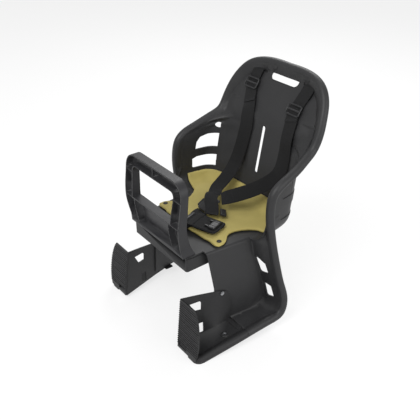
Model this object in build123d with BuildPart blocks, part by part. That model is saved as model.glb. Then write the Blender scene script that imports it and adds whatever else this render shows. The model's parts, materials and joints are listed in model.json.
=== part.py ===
import os
from math import atan2, cos, pi, radians, sin, sqrt, tan

from build123d import *

os.makedirs("parts", exist_ok=True)

# Moulded shell: walls, bowl and back
wall = 4.0
pan_top = 44.0
bowl_top = 109.0
back_corner = 50.0
back_y_low = 158.0
back_slope = 0.188
neck_y = 190.0
neck_z = 279.0
head_lean = 33.4

# Strip behind the leg and floor of the leg guard
calf_lean = -12.0
crease_radius = 25.0
crease_y = 37.2
floor_top = -183.0
strip_bend_x = 165.0
seam_y = -50.0

# Rolled rim
lip_radius = 12.0
lip_wall = 5.0
lip_end_angle = -20.0
lip_leg = 8.0
head_leg = 21.0

# Leg guards
guard_splay = 0.105
guard_tilt = 0.03
guard_x = 135.0
guard_front_y = -116.0

# Centre line of the rolled rim on the right side, from the tray's front to the head's top
rim_points = [
    (204, -190, -216),
    (218, -78, -198),
    (222, 30, -191),
    (224, 66, -181),
    (222, 79, -155),
    (214, 69, -83),
    (208, 57, -26),
    (204, 43, 44),
    (202, 33, 111),
    (200, 34, 160),
    (199, 43, 187),
    (199, 61, 202),
    (197, 92, 214),
    (193, 125, 226),
    (187, 156, 239),
    (182, 184, 254),
    (181, 201, 280),
    (173, 221, 325),
    (156, 241, 363),
    (133, 254, 386),
    (99, 264.5, 399),
    (0, 269.5, 405),
    (-99, 264.5, 399),
]

head_plane = Plane(
    origin=(0, neck_y, neck_z),
    x_dir=(1, 0, 0),
    z_dir=(0, -cos(radians(head_lean)), sin(radians(head_lean))),
)

with BuildLine() as rim_line:
    Spline(*rim_points, tangents=[(0.12, 1, 0.15), (-1, -0.1, -0.2)])
rim = rim_line.edges()[0]


def rim_at(u):
    """Rim point with its outward and forward directions at the share u of its length."""
    point = rim @ u
    along = (rim % u).normalized()
    if point.Z > neck_z:
        forward = head_plane.z_dir
        outward = along.cross(forward).normalized()
        forward = outward.cross(along)
    else:
        side = Vector(1, 0, 0)
        outward = (side - along * side.dot(along)).normalized()
        forward = outward.cross(along)
    return point, outward, forward


def lip_face(u, start_angle, leg):
    """Hooked section of the rim: a leg along the wall and an arc that rolls outward."""
    point, outward, forward = rim_at(u)
    plane = Plane(origin=point, x_dir=outward, z_dir=outward.cross(forward))
    a0 = radians(start_angle)
    a1 = radians(lip_end_angle)
    outer = lip_radius
    inner = lip_radius - lip_wall
    way = (-cos(a0 - pi / 2), -sin(a0 - pi / 2))

    def at(radius, angle, back=0.0):
        return (radius * cos(angle) + way[0] * back, radius * sin(angle) + way[1] * back)

    mid = (a0 + a1) / 2
    with BuildSketch(plane) as section:
        with BuildLine():
            Line(at(outer, a0, leg), at(outer, a0))
            ThreePointArc(at(outer, a0), at(outer, mid), at(outer, a1))
            Line(at(outer, a1), at(inner, a1))
            ThreePointArc(at(inner, a1), at(inner, mid), at(inner, a0))
            Line(at(inner, a0), at(inner, a0, leg))
            Line(at(inner, a0, leg), at(outer, a0, leg))
        make_face()
    return section.sketch.faces()[0]


def rim_share(height, low=0.0, high=1.0):
    """Share of the rim's length at which it reaches a height on its way up."""
    for _ in range(30):
        mid = (low + high) / 2
        if (rim @ mid).Z < height:
            low = mid
        else:
            high = mid
    return (low + high) / 2


# Start angle and leg of the hook along the rim: share of the length, angle, leg
seam_share = 0.0
for _step in range(400):
    if (rim @ (_step / 1000)).Y < seam_y:
        seam_share = _step / 1000
crease_share = rim_share(-170, 0.2, 0.85)
calf_share = rim_share(44, 0.2, 0.85)
turn_share = rim_share(80, 0.2, 0.85)
wing_share = rim_share(111, 0.2, 0.85)
top_wing_share = rim_share(214, 0.2, 0.85)
neck_share = rim_share(254, 0.2, 0.85)
head_share = rim_share(325, 0.2, 0.85)
end_share = 0.965
lip_stations = [
    (0.0, 110, lip_leg),
    (crease_share * 0.8, 110, lip_leg),
    (crease_share, 90, lip_leg),
    (crease_share * 1.15, 75, lip_leg),
    (calf_share, 72, lip_leg),
    (turn_share, 118, lip_leg),
    (wing_share, 172, lip_leg),
    (top_wing_share, 172, lip_leg),
    (neck_share, 130, 12),
    (head_share, 125, head_leg),
    (1.0, 128, head_leg),
]


def lip_values(u):
    """Angle and leg of the hook between its stations."""
    for (u0, a0, l0), (u1, a1, l1) in zip(lip_stations, lip_stations[1:]):
        if u <= u1:
            f = (u - u0) / (u1 - u0)
            f = f * f * (3 - 2 * f)
            return a0 + (a1 - a0) * f, l0 + (l1 - l0) * f
    return lip_stations[-1][1:]


def lip_angle_near(share):
    """Direction in which the wall reaches the rim, in degrees."""
    return lip_values(share)[0] - 90


def back_y(height):
    """Front surface of the backrest on the centre line."""
    return back_y_low + back_slope * (height - bowl_top)


def hook_in_plane(origin, forward, low, high):
    """Hook centre (side, forward) and share where the rim crosses a plane through X."""
    normal = forward.cross(Vector(1, 0, 0))
    for _ in range(30):
        mid = (low + high) / 2
        if (rim @ mid - origin).dot(normal) < 0:
            low = mid
        else:
            high = mid
    point = rim @ low
    return point.X, (point - origin).dot(forward), low


def forward_dir(lean):
    """Direction to the front, leaning up by an angle."""
    return Vector(0, -cos(radians(lean)), sin(radians(lean)))


def fan_plane(origin, lean):
    """Plane of a wall section: X to the side and Y to the front."""
    forward = forward_dir(lean)
    return Plane(origin=origin, x_dir=(1, 0, 0), z_dir=Vector(1, 0, 0).cross(forward))


def wall_curve(touch, angle, corner, back_radius, shift, reach):
    """Points across the back, round the corner and forward along the side."""
    phi = radians(angle)
    line = (cos(phi), sin(phi))
    inward = (-sin(phi), cos(phi))
    radius = corner
    for _ in range(40):
        base = (touch[0] + radius * inward[0], touch[1] + radius * inward[1] - back_radius)
        b = base[0] * line[0] + base[1] * line[1]
        c = base[0] ** 2 + base[1] ** 2 - (back_radius - radius) ** 2
        disc = b * b - c
        if disc > 0 and -b - sqrt(disc) < -3:
            break
        radius = radius * 0.9
    way = -b - sqrt(disc)
    centre = (base[0] + way * line[0], base[1] + back_radius + way * line[1])
    alpha = atan2(centre[0], back_radius - centre[1])
    points = []
    for k in range(5):
        a = alpha * k / 5
        r = back_radius + shift
        points.append((r * sin(a), back_radius - r * cos(a)))
    for k in range(6):
        a = alpha + (phi - alpha) * k / 5
        r = radius + shift
        points.append((centre[0] + r * sin(a), centre[1] - r * cos(a)))
    end = (touch[0] + reach * line[0] - shift * inward[0], touch[1] + reach * line[1] - shift * inward[1])
    last = points[-1]
    for k in (1, 2):
        f = k / 2
        points.append((last[0] + (end[0] - last[0]) * f, last[1] + (end[1] - last[1]) * f))
    return points, line


def bezier(p0, p1, p2, p3, f):
    """Point of a cubic curve between two ends."""
    g = 1 - f
    return tuple(
        g ** 3 * a + 3 * g * g * f * b + 3 * g * f * f * c + f ** 3 * d
        for a, b, c, d in zip(p0, p1, p2, p3)
    )


def offset_points(points, end_angle, distance):
    """Points moved to the back of a curve by a distance."""
    moved = []
    for k, point in enumerate(points):
        before = points[max(k - 1, 0)]
        after = points[min(k + 1, len(points) - 1)]
        dx, dt = after[0] - before[0], after[1] - before[1]
        if k == len(points) - 1:
            dx, dt = cos(end_angle), sin(end_angle)
        if k == 0:
            dx, dt = 1, 0
        size = sqrt(dx * dx + dt * dt)
        moved.append((point[0] + distance * dt / size, point[1] - distance * dx / size))
    return moved


def neck_curve(touch, angle):
    """Points across the flat back that bend up into the rim's leg."""
    phi = radians(angle)
    span = 62
    end = (touch[0] - 3 * cos(phi), touch[1] - 3 * sin(phi))
    p0 = (end[0] - span, 0)
    p1 = (p0[0] + span * 0.4, 0)
    p2 = (end[0] - span * 0.3 * cos(phi), end[1] - span * 0.3 * sin(phi))
    points = [(p0[0] * k / 5, 0) for k in range(5)]
    for k in range(8):
        points.append(bezier(p0, p1, p2, end, k / 7))
    return points


def thick_face(plane, inner, outer, start_dir, end_dir):
    """Thin face between two splines, closed by short straight ends."""
    with BuildSketch(plane) as section:
        with BuildLine():
            Spline(*inner, tangents=[start_dir, end_dir])
            Line(inner[-1], outer[-1])
            Spline(*outer, tangents=[start_dir, end_dir])
            Line(outer[0], inner[0])
        make_face()
    return section.sketch.faces()[0]


def wall_face(height, lean, corner, back_radius):
    """Section of the back and wing at a height on the centre line."""
    if height < neck_z:
        y = back_y(height)
    else:
        y = neck_y + (height - neck_z) * tan(radians(head_lean))
    origin = Vector(0, y, height)
    hx, ht, share = hook_in_plane(origin, forward_dir(lean), 0.3, 0.85)
    angle = lip_angle_near(share)
    reach_r = lip_radius - (lip_wall - wall) / 2
    touch = (hx - reach_r * sin(radians(angle)), ht + reach_r * cos(radians(angle)))
    if height < 240:
        inner, line = wall_curve(touch, angle, corner, back_radius, 0, -3)
        outer, line = wall_curve(touch, angle, corner, back_radius, wall, -3)
    else:
        inner = neck_curve(touch, angle)
        outer = offset_points(inner, radians(angle), wall)
        line = (cos(radians(angle)), sin(radians(angle)))
    return thick_face(fan_plane(origin, lean), inner, outer, (1, 0), line)


# Sections of the back and wings: height, lean of the section, corner radius, back radius
wall_stations = [
    (bowl_top, 0, back_corner, 1500),
    (140, 0, back_corner, 1500),
    (164, 0, back_corner, 1500),
    (192, -3, back_corner, 1500),
    (212, -5, back_corner, 1500),
    (228, -8, 48, 1500),
    (241, -12, 48, 2000),
    (252, -14, 60, 3000),
    (264, 0, 60, 5000),
    (280, 16, 60, 9000),
    (306, head_lean, 60, 20000),
]

with BuildPart() as lip:
    lip_count = 34
    for index in range(lip_count + 1):
        share = seam_share + (end_share - seam_share) * index / lip_count
        angle, leg = lip_values(share)
        add(lip_face(share, angle, leg))
    loft(ruled=True)
    split(bisect_by=Plane.YZ, keep=Keep.TOP)

with BuildPart() as back:
    for height, lean, corner, radius in wall_stations:
        add(wall_face(height, lean, corner, radius))
    loft(ruled=True)


def bowl_face(height, inset, shift, corner):
    """Plan outline of the bowl, moved inward by an inset, closed across the front."""
    y = back_y(height)
    hx, ht, share = hook_in_plane(Vector(0, back_y_low, bowl_top), forward_dir(0), 0.3, 0.85)
    angle = lip_angle_near(share)
    reach_r = lip_radius - (lip_wall - wall) / 2
    touch_x = hx - reach_r * sin(radians(angle))
    touch_t = ht + reach_r * cos(radians(angle)) - back_y_low + y
    points, line = wall_curve((touch_x, touch_t), angle, corner, 1500, shift - inset, 60)
    with BuildSketch(fan_plane(Vector(0, y, height), 0)) as section:
        with BuildLine():
            Spline(*points, tangents=[(1, 0), line])
            Polyline(points[-1], (0, points[-1][1]), points[0])
        make_face()
    return section.sketch.faces()[0]


bowl_inner_r = 46.0
bowl_angles = [0, 12, 27, 45, 66, 90]

with BuildPart() as bowl_cavity:
    for turn in bowl_angles:
        rise = bowl_inner_r * (1 - cos(radians(turn)))
        add(bowl_face(pan_top + rise, bowl_inner_r * (1 - sin(radians(turn))), 0, back_corner))
    add(bowl_face(bowl_top + 6, 0, 0, back_corner))
    loft()

with BuildPart() as bowl_body:
    outer_r = bowl_inner_r + wall
    for turn in bowl_angles:
        rise = outer_r * (1 - cos(radians(turn)))
        add(bowl_face(pan_top - wall + rise, outer_r * (1 - sin(radians(turn))), wall, back_corner))
    add(bowl_face(bowl_top, 0, wall, back_corner))
    loft()


def guard_plane_x(y, z):
    """Foot side of the leg guard's inner wall."""
    return guard_x + guard_splay * (y - guard_front_y) - guard_tilt * (z - pan_top)


def strip_face(y, z, lean, low, high):
    """Section of the strip behind and below the leg, from the inner wall to the rim."""
    origin = Vector(0, y, z)
    forward = forward_dir(lean)
    hx, ht, share = hook_in_plane(origin, forward, low, high)
    angle = lip_angle_near(share)
    reach_r = lip_radius - (lip_wall - wall) / 2
    phi = radians(angle)
    touch = (hx - reach_r * sin(phi), ht + reach_r * cos(phi))
    start = guard_plane_x(y, z) - wall / 2
    inner = [(start, 0), ((start + strip_bend_x) / 2, 0)]
    pull = 0.4 * (touch[0] - strip_bend_x)
    p0 = (strip_bend_x, 0)
    p1 = (strip_bend_x + pull, 0)
    p2 = (touch[0] - pull * cos(phi), touch[1] - pull * sin(phi))
    for k in range(7):
        inner.append(bezier(p0, p1, p2, touch, k / 7))
    inner.append((0, 0))
    inner[-1] = (touch[0] - 5 * cos(phi), touch[1] - 5 * sin(phi))
    outer = offset_points(inner, phi, wall)
    return thick_face(fan_plane(origin, lean), inner, outer, (1, 0), (cos(phi), sin(phi)))


# Path of the strip in side view: Y, Z and lean of the section
strip_stations = [
    (22, 98, 5),
    (18, 78, 3),
    (15, 44, -3),
    (21, 8, -10),
    (31, -26, -14),
    (44, -66, -18),
    (54, -104, -14),
    (60, -143, calf_lean),
]
for _turn in (calf_lean, 15, 40, 65, 90):
    _forward = forward_dir(_turn)
    strip_stations.append((
        crease_y - crease_radius * _forward.Y,
        floor_top + crease_radius - crease_radius * _forward.Z,
        _turn,
    ))
strip_stations.append((10, floor_top, 90))
strip_stations.append((-20, floor_top, 90))
strip_stations.append((seam_y, floor_top, 90))

with BuildPart() as strip:
    for y, z, lean in strip_stations:
        add(strip_face(y, z, lean, 0.02, 0.6))
    loft(ruled=True)

# Plate of the headrest, inside the rim's leg
head_inset = 20.0
head_low = 27.0
top_share = 0.9
for _step in range(300):
    if (rim @ (0.8 + _step / 1500)).X > 0:
        top_share = 0.8 + _step / 1500
head_points = []
for _step in range(9):
    _share = 0.714 + (top_share - 0.714) * _step / 8
    _point, _outward, _forward = rim_at(_share)
    _local = head_plane.to_local_coords(_point - _outward * head_inset)
    head_points.append((_local.X, _local.Y))
head_points[0] = (head_points[0][0], head_low)
head_points[-1] = (0, head_points[-1][1])

with BuildPart() as head:
    with BuildSketch(head_plane.offset(-0.4)):
        with BuildLine():
            Spline(*head_points, tangents=[(0, 1), (-1, 0)])
            Polyline(head_points[-1], (0, head_low), head_points[0])
        make_face()
    extrude(amount=-wall)

# Pan and the inner walls of the leg guards
pan_half = 120.0
pan_front_y = -168.0
saddle_low = floor_top - wall - 1


def saddle_face(z, side_shift, front, rear):
    """Plan outline of the saddle at one height."""
    with BuildSketch(Plane.XY.offset(z)) as section:
        with BuildLine():
            Polyline(
                (0, front),
                (guard_plane_x(front, z) - side_shift, front),
                (guard_plane_x(rear, z) - side_shift, rear),
                (0, rear),
                (0, front),
            )
        make_face()
    return section.sketch.faces()[0]


with BuildPart() as saddle:
    add(saddle_face(pan_top, 0, guard_front_y, 90))
    add(saddle_face(saddle_low, 0, guard_front_y, 90))
    loft(ruled=True)
    fillet(saddle.edges().filter_by(Axis.Z, reverse=True).group_by(Axis.Z)[-1].sort_by(Axis.X)[-1], 9)

with BuildPart() as saddle_cavity:
    add(saddle_face(pan_top - wall, wall, guard_front_y - 60, 120))
    add(saddle_face(saddle_low - 5, wall, guard_front_y - 60, 120))
    loft(ruled=True)
    fillet(saddle_cavity.edges().filter_by(Axis.Z, reverse=True).group_by(Axis.Z)[-1].sort_by(Axis.X)[-1], 5)

with BuildPart() as saddle_side:
    with BuildSketch(Plane.YZ):
        with BuildLine():
            Polyline(
                (-116, 46), (-108, 10), (-94, -75), (-96, floor_top - wall / 2), (37, floor_top - wall / 2),
                (46, -183), (55, -176), (61, -166), (63, -154), (61, -139), (56, -104), (46, -66),
                (33, -26), (23, 8), (17, 36), (17, 46),
                (-116, 46),
            )
        make_face()
    extrude(amount=200)

# Everything ahead of the strip is open below the rim
with BuildPart() as front_opening:
    with BuildSketch(Plane.YZ):
        with BuildLine():
            Polyline((-80, 20), (17, 20), (17, 44), (20, 78), (28, 100), (34, 112), (34, 140), (-80, 140), (-80, 20))
        make_face()
    extrude(amount=260)

with BuildPart() as seat_half:
    add(bowl_body.part)
    add(bowl_cavity.part, mode=Mode.SUBTRACT)
    add(front_opening.part, mode=Mode.SUBTRACT)
    add(back.part)

with BuildPart() as strip_trim:
    add(strip.part)
    add(bowl_cavity.part, mode=Mode.SUBTRACT)

with BuildPart() as saddle_shell:
    add(saddle.part)
    add(saddle_cavity.part, mode=Mode.SUBTRACT)
    add(saddle_side.part, mode=Mode.INTERSECT)
    with BuildSketch(Plane.XY.offset(pan_top - wall)):
        with BuildLine():
            Polyline((0, pan_front_y), (pan_half, pan_front_y), (pan_half, -114), (0, -114), (0, pan_front_y))
        make_face()
    extrude(amount=wall)


# Openings of the shell, cut from one half
window_side_x = 150.0
slot_width = 12.0
slot_low_z = 126.0
slot_high_z = 259.0
hand_slot_h = 118.0
hand_slot_length = 102.0
hand_slot_width = 26.0
strap_slot_h = 122.0
strap_slot_in = 68.0
strap_slot_out = 124.0
strap_slot_width = 10.0

with BuildPart() as windows:
    with BuildSketch(Plane.YZ.offset(window_side_x)):
        with BuildLine():
            Polyline((78, 95), (84, 91), (190, 91), (190, 126), (92, 126), (78, 121), (78, 95))
        make_face()
        with BuildLine():
            Polyline((88, 150), (190, 150), (190, 191), (128, 191), (104, 186), (92, 172), (88, 150))
        make_face()
    extrude(amount=80)
    with BuildSketch(Plane(origin=(170, 170, 215), x_dir=(1, -1, 0), z_dir=(1, 1, 0)).offset(-40)):
        Ellipse(12.5, 8)
    extrude(amount=70)

with BuildPart() as window_limit:
    with BuildSketch(Plane.XY.offset(60)):
        with BuildLine():
            Polyline((150, 60), (260, 60), (260, 260), (157, 260), (157, 150), (150, 120), (150, 60))
        make_face()
    extrude(amount=200)

with BuildPart() as calf_holes:
    for corners in (
        [(158, -8), (174, -12), (188, -25), (192, -58), (163, -66)],
        [(169, -103), (193, -105), (200, -142), (176, -148)],
    ):
        with BuildSketch(Plane.XZ.offset(-100)):
            with BuildLine():
                Polyline(*corners, corners[0])
            make_face()
        extrude(amount=90)
    fillet(calf_holes.edges().filter_by(Axis.Y), 5)

with BuildPart() as head_slots:
    with BuildSketch(head_plane.offset(-30)):
        with Locations((0, hand_slot_h)):
            SlotOverall(hand_slot_length, hand_slot_width)
        for side in (1, -1):
            with Locations((side * (strap_slot_in + strap_slot_out) / 2, strap_slot_h)):
                SlotOverall(strap_slot_out - strap_slot_in, strap_slot_width)
    extrude(amount=60)

with BuildPart() as back_slot:
    with BuildSketch(Plane.XZ.offset(-230)):
        with Locations((0, (slot_low_z + slot_high_z) / 2)):
            SlotOverall(slot_high_z - slot_low_z, slot_width, rotation=90)
    extrude(amount=110)


# Screws that join the shell to its neighbours
screw_clear = 0.3
seat_screw_x = 62.0
seat_screw_ys = [-30.0, 78.0]
seat_screw_r = 2.5
seat_head_r = 5.0
seat_head_h = 2.0
grip_screw_xs = [-95.0, -35.0, 35.0, 95.0]
grip_screw_y = -161.0
grip_screw_r = 2.0
grip_head_r = 4.5
grip_head_h = 2.6
tray_wall = 3.5
tray_bolt_r = 3.0
tray_rear_y = -46.0
tray_edge_y = seam_y - 0.3
tray_front_top_y = -190.0
tray_front_low_y = -207.0
tray_top_z = -65.0
tray_floor_rear = floor_top - 5
tray_floor_front = -208.0
side_bolt = Vector(guard_plane_x(-75, -92), -75, -92)
side_bolt_dir = Vector(1, -guard_splay, guard_tilt).normalized()
floor_bolt_x = 188.0
floor_bolt_y = -98.0
seat_screw_spots = [(side * seat_screw_x, y) for side in (1, -1) for y in seat_screw_ys]
grip_screw_spots = [(x, grip_screw_y) for x in grip_screw_xs]


def tray_floor_z(y):
    """Top of the tray's floor."""
    share = (tray_rear_y - y) / (tray_rear_y - tray_front_low_y)
    return tray_floor_rear + (tray_floor_front - tray_floor_rear) * share


floor_slope = (tray_floor_front - tray_floor_rear) / (tray_front_low_y - tray_rear_y)
floor_up = Vector(0, -floor_slope, 1).normalized()
floor_bolt = Vector(floor_bolt_x, floor_bolt_y, tray_floor_z(floor_bolt_y))

# Tongue of the guard's floor that carries the tray
tongue_end = -114.0
with BuildPart() as tongue:
    with BuildSketch(Plane.YZ.offset(166)):
        with BuildLine():
            Polyline(
                (-42, floor_top - 2), (-49, floor_top - 2), (-49.5, tray_floor_z(-49.5) - tray_wall - 0.2),
                (tongue_end, tray_floor_z(tongue_end) - tray_wall),
                (tongue_end, tray_floor_z(tongue_end) - tray_wall - wall),
                (-50, tray_floor_z(-50) - tray_wall - wall), (-42, floor_top - wall), (-42, floor_top - 2),
            )
        make_face()
    extrude(amount=40)

with BuildPart() as half:
    add([seat_half.part, saddle_shell.part, strip_trim.part, head.part, lip.part, tongue.part])
    add(calf_holes.part, mode=Mode.SUBTRACT)
    add(windows.part & window_limit.part, mode=Mode.SUBTRACT)
    with BuildSketch(Plane(origin=side_bolt, z_dir=side_bolt_dir)):
        Circle(tray_bolt_r + screw_clear)
    extrude(amount=-8, mode=Mode.SUBTRACT)
    with BuildSketch(Plane(origin=floor_bolt, z_dir=floor_up)):
        Circle(tray_bolt_r + screw_clear)
    extrude(amount=-12, mode=Mode.SUBTRACT)
    split(bisect_by=Plane.YZ, keep=Keep.TOP)

with BuildPart() as seat_shell:
    add(half.part)
    mirror(about=Plane.YZ)
    add(head_slots.part, mode=Mode.SUBTRACT)
    add(back_slot.part, mode=Mode.SUBTRACT)
    with BuildSketch(Plane.XY.offset(pan_top)):
        with Locations(*seat_screw_spots):
            Circle(seat_screw_r + screw_clear)
        with Locations(*grip_screw_spots):
            Circle(grip_screw_r + screw_clear)
    extrude(amount=-wall, mode=Mode.SUBTRACT)
    with BuildSketch(Plane.XY.offset(pan_top)):
        with Locations(*seat_screw_spots):
            Circle(seat_head_r + screw_clear)
    extrude(amount=-seat_head_h, mode=Mode.SUBTRACT)
seat_shell.part.label = "seat_shell"
export_step(seat_shell.part, "parts/seat_shell.step")

# Carrier base under the pan: hollow box with ribs, four carrier bolts and four seat screws
base_half = 119.0
base_front_y = -166.0
base_back_y = 115.0
base_top = 37.0
base_wall = 3.5
base_rib_depth = 24.0
carrier_bolt_x = 40.0
carrier_bolt_y = 75.0
carrier_bolt_r = 3.3
carrier_boss_r = 10.0
seat_boss_r = 9.0
seat_nut_across = 9.0
seat_nut_h = 4.0
seat_nut_z = 9.0

carrier_spots = [(side * carrier_bolt_x, end * carrier_bolt_y) for side in (1, -1) for end in (1, -1)]
base_mid_y = (base_front_y + base_back_y) / 2
base_depth = base_back_y - base_front_y

with BuildPart() as carrier_base:
    with BuildSketch(Plane.XY):
        with Locations((0, base_mid_y)):
            RectangleRounded(2 * base_half, base_depth, 6)
    extrude(amount=base_top)
    with BuildSketch(Plane.XY):
        with Locations((0, base_mid_y)):
            RectangleRounded(2 * base_half - 2 * base_wall, base_depth - 2 * base_wall, 3)
    extrude(amount=base_top - base_wall, mode=Mode.SUBTRACT)
    with BuildSketch(Plane.XY.offset(base_top - base_wall)):
        for rib_x in (-92, 0, 92):
            with Locations((rib_x, base_mid_y)):
                Rectangle(2.5, base_depth - base_wall)
        for rib_y in (-120, -carrier_bolt_y, 20, carrier_bolt_y):
            with Locations((0, rib_y)):
                Rectangle(2 * base_half - base_wall, 2.5)
    extrude(amount=-base_rib_depth)
    with BuildSketch(Plane.XY):
        with Locations(*carrier_spots):
            Circle(carrier_boss_r)
    extrude(amount=base_top - base_wall / 2)
    with BuildSketch(Plane.XY.offset(seat_nut_z)):
        with Locations(*seat_screw_spots):
            Circle(seat_boss_r)
    extrude(amount=pan_top - wall - seat_nut_z)
    with BuildSketch(Plane.XY):
        with Locations(*carrier_spots):
            Circle(carrier_bolt_r)
    extrude(amount=base_top - 2 * base_wall, mode=Mode.SUBTRACT)
    with BuildSketch(Plane.XY):
        with Locations(*seat_screw_spots):
            Circle(seat_screw_r + screw_clear)
    extrude(amount=pan_top, mode=Mode.SUBTRACT)
    with BuildSketch(Plane.XY.offset(seat_nut_z)):
        with Locations(*seat_screw_spots):
            RegularPolygon(seat_nut_across / 2 + screw_clear, 6, major_radius=False)
    extrude(amount=seat_nut_h, mode=Mode.SUBTRACT)
carrier_base.part.label = "carrier_base"
export_step(carrier_base.part, "parts/carrier_base.step")

for number, (screw_x, screw_y) in enumerate(seat_screw_spots, start=1):
    head_low_z = pan_top - seat_head_h
    with BuildPart() as base_screw:
        with BuildSketch(Plane(origin=(screw_x, screw_y, head_low_z))):
            Circle(seat_head_r)
        extrude(amount=seat_head_h - 0.1)
        with BuildSketch(Plane(origin=(screw_x, screw_y, head_low_z))):
            Circle(seat_screw_r)
        extrude(amount=-(head_low_z - 5))
        with BuildSketch(Plane(origin=(screw_x, screw_y, pan_top))):
            RegularPolygon(1.5, 6, major_radius=False)
        extrude(amount=-1.5, mode=Mode.SUBTRACT)
    base_screw.part.label = f"base_screw_{number}"
    export_step(base_screw.part, f"parts/base_screw_{number}.step")
    with BuildPart() as base_nut:
        with BuildSketch(Plane(origin=(screw_x, screw_y, seat_nut_z + 0.2))):
            RegularPolygon(seat_nut_across / 2, 6, major_radius=False)
            Circle(seat_screw_r + 0.05, mode=Mode.SUBTRACT)
        extrude(amount=seat_nut_h - 0.2)
    base_nut.part.label = f"base_nut_{number}"
    export_step(base_nut.part, f"parts/base_nut_{number}.step")

for number, (screw_x, screw_y) in enumerate(grip_screw_spots, start=1):
    with BuildPart() as grip_screw:
        with BuildSketch(Plane(origin=(screw_x, screw_y, pan_top - wall))):
            Circle(grip_head_r)
        extrude(amount=-grip_head_h)
        with BuildSketch(Plane(origin=(screw_x, screw_y, pan_top - wall))):
            Circle(grip_screw_r)
        extrude(amount=wall + 10)
    grip_screw.part.label = f"grip_screw_{number}"
    export_step(grip_screw.part, f"parts/grip_screw_{number}.step")

# Grip bar: bowed frame with an open channel to the front and ribs across it
grip_wall = 4.0
grip_inner_wall = 3.5
grip_web_depth = 16.0
grip_web = 3.5
grip_rib = 3.0
grip_top = 249.0
grip_foot_z = pan_top
grip_half_top = 122.0
grip_corner_r = 38.0
window_top = 219.0
window_ledge = 134.0
window_half_top = 91.0
window_half_low = 84.0
window_r = 14.0
panel_low = 57.0

with BuildPart() as grip_body:
    with BuildSketch(Plane.YZ):
        with BuildLine():
            Spline((-175, grip_foot_z), (-182, 85), (-187, 124), (-184, 164), (-179, 202), (-175, grip_top + 1))
            Line((-175, grip_top + 1), (-151, grip_top + 1))
            Spline((-151, grip_top + 1), (-156, 220), (-160, 174), (-162, 122), (-154, 85), (-137, grip_foot_z))
            Line((-137, grip_foot_z), (-175, grip_foot_z))
        make_face()
    extrude(amount=grip_half_top + 4, both=True)

with BuildPart() as grip_front_space:
    with BuildSketch(Plane.YZ):
        with BuildLine():
            Spline(
                (-175 + grip_web_depth, grip_foot_z - 1), (-182 + grip_web_depth, 85),
                (-187 + grip_web_depth, 124), (-184 + grip_web_depth, 164),
                (-179 + grip_web_depth, 202), (-175 + grip_web_depth, grip_top + 1),
            )
            Polyline(
                (-175 + grip_web_depth, grip_top + 1), (-210, grip_top + 1),
                (-210, grip_foot_z - 1), (-175 + grip_web_depth, grip_foot_z - 1),
            )
        make_face()
    extrude(amount=grip_half_top + 4, both=True)

grip_outline = [
    (-grip_half_top, grip_top), (grip_half_top, grip_top), (grip_half_top, 164), (118, 109),
    (113.5, 68), (118, grip_foot_z), (-118, grip_foot_z), (-113.5, 68), (-118, 109), (-grip_half_top, 164),
]
window_outline = [
    (-window_half_top, window_top), (window_half_top, window_top), (86, 165),
    (window_half_low, window_ledge), (-window_half_low, window_ledge), (-86, 165),
]


def grip_prism(outline, inset, corner, low):
    """Block along Y with a symmetrical outline, moved inward and cut off below a height."""
    with BuildPart() as block:
        with BuildSketch(Plane.XZ.offset(120)) as face:
            with BuildLine():
                Polyline(*outline, outline[0])
            make_face()
            offset(amount=-inset, kind=Kind.INTERSECTION)
            fillet(face.vertices().sort_by(Axis.Y)[-2:], corner)
            with Locations((0, low - 50)):
                Rectangle(300, 100, mode=Mode.SUBTRACT)
        extrude(amount=100)
    return block.part


with BuildPart() as grip_ribs:
    with BuildSketch(Plane.XZ.offset(120)):
        for side in (1, -1):
            with Locations((side * 104, 202)):
                Rectangle(30, grip_rib)
            with Locations((side * 100, window_ledge - grip_rib / 2)):
                Rectangle(40, grip_rib)
            with Locations((side * 76, (window_ledge + panel_low) / 2)):
                Rectangle(grip_rib, window_ledge - panel_low)
        with Locations((0, 234)):
            Rectangle(grip_rib, 34)
    extrude(amount=100)

with BuildPart() as grip_channel:
    add(grip_prism(grip_outline, grip_wall, grip_corner_r - grip_wall, panel_low))
    add(grip_prism(window_outline, -grip_inner_wall, window_r + grip_inner_wall, 0), mode=Mode.SUBTRACT)
    add(grip_ribs.part, mode=Mode.SUBTRACT)
    add(grip_front_space.part, mode=Mode.INTERSECT)

with BuildPart() as grip_bar:
    add(grip_body.part)
    add(grip_prism(grip_outline, 0.001, grip_corner_r, 0), mode=Mode.INTERSECT)
    add(grip_prism(window_outline, 0.001, window_r, 0), mode=Mode.SUBTRACT)
    add(grip_channel.part, mode=Mode.SUBTRACT)
    with BuildSketch(Plane.XY.offset(grip_foot_z)):
        with Locations(*grip_screw_spots):
            Circle(grip_screw_r + 0.05)
    extrude(amount=11, mode=Mode.SUBTRACT)
grip_bar.part.label = "grip_bar"
export_step(grip_bar.part, "parts/grip_bar.step")

# Footrest tray: side wall on the guard, sloping floor, ribbed front wall and rolled outer edge
tray_low_z = -212.0
tray_inner_x = 126.0


def tray_side_x(y, z):
    """Foot side of the tray's side wall, which lies on the guard's foot side."""
    if y > -96:
        return guard_plane_x(y, z) + tray_wall
    share = (y + 96) / (tray_front_top_y + 96)
    front_x = tray_inner_x + tray_wall + 0.03 * (tray_top_z - z)
    rear_x = guard_plane_x(-96, z) + tray_wall
    return rear_x + (front_x - rear_x) * share


def tray_side_face(z):
    """Plan of the tray's side wall at one height."""
    ys = [-40, -96, -215]
    near = [(tray_side_x(y, z), y) for y in ys]
    far = [(x - tray_wall + 0.1, y) for x, y in near]
    with BuildSketch(Plane.XY.offset(z)) as section:
        with BuildLine():
            Polyline(*near, *reversed(far), near[0])
        make_face()
    return section.sketch.faces()[0]


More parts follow.
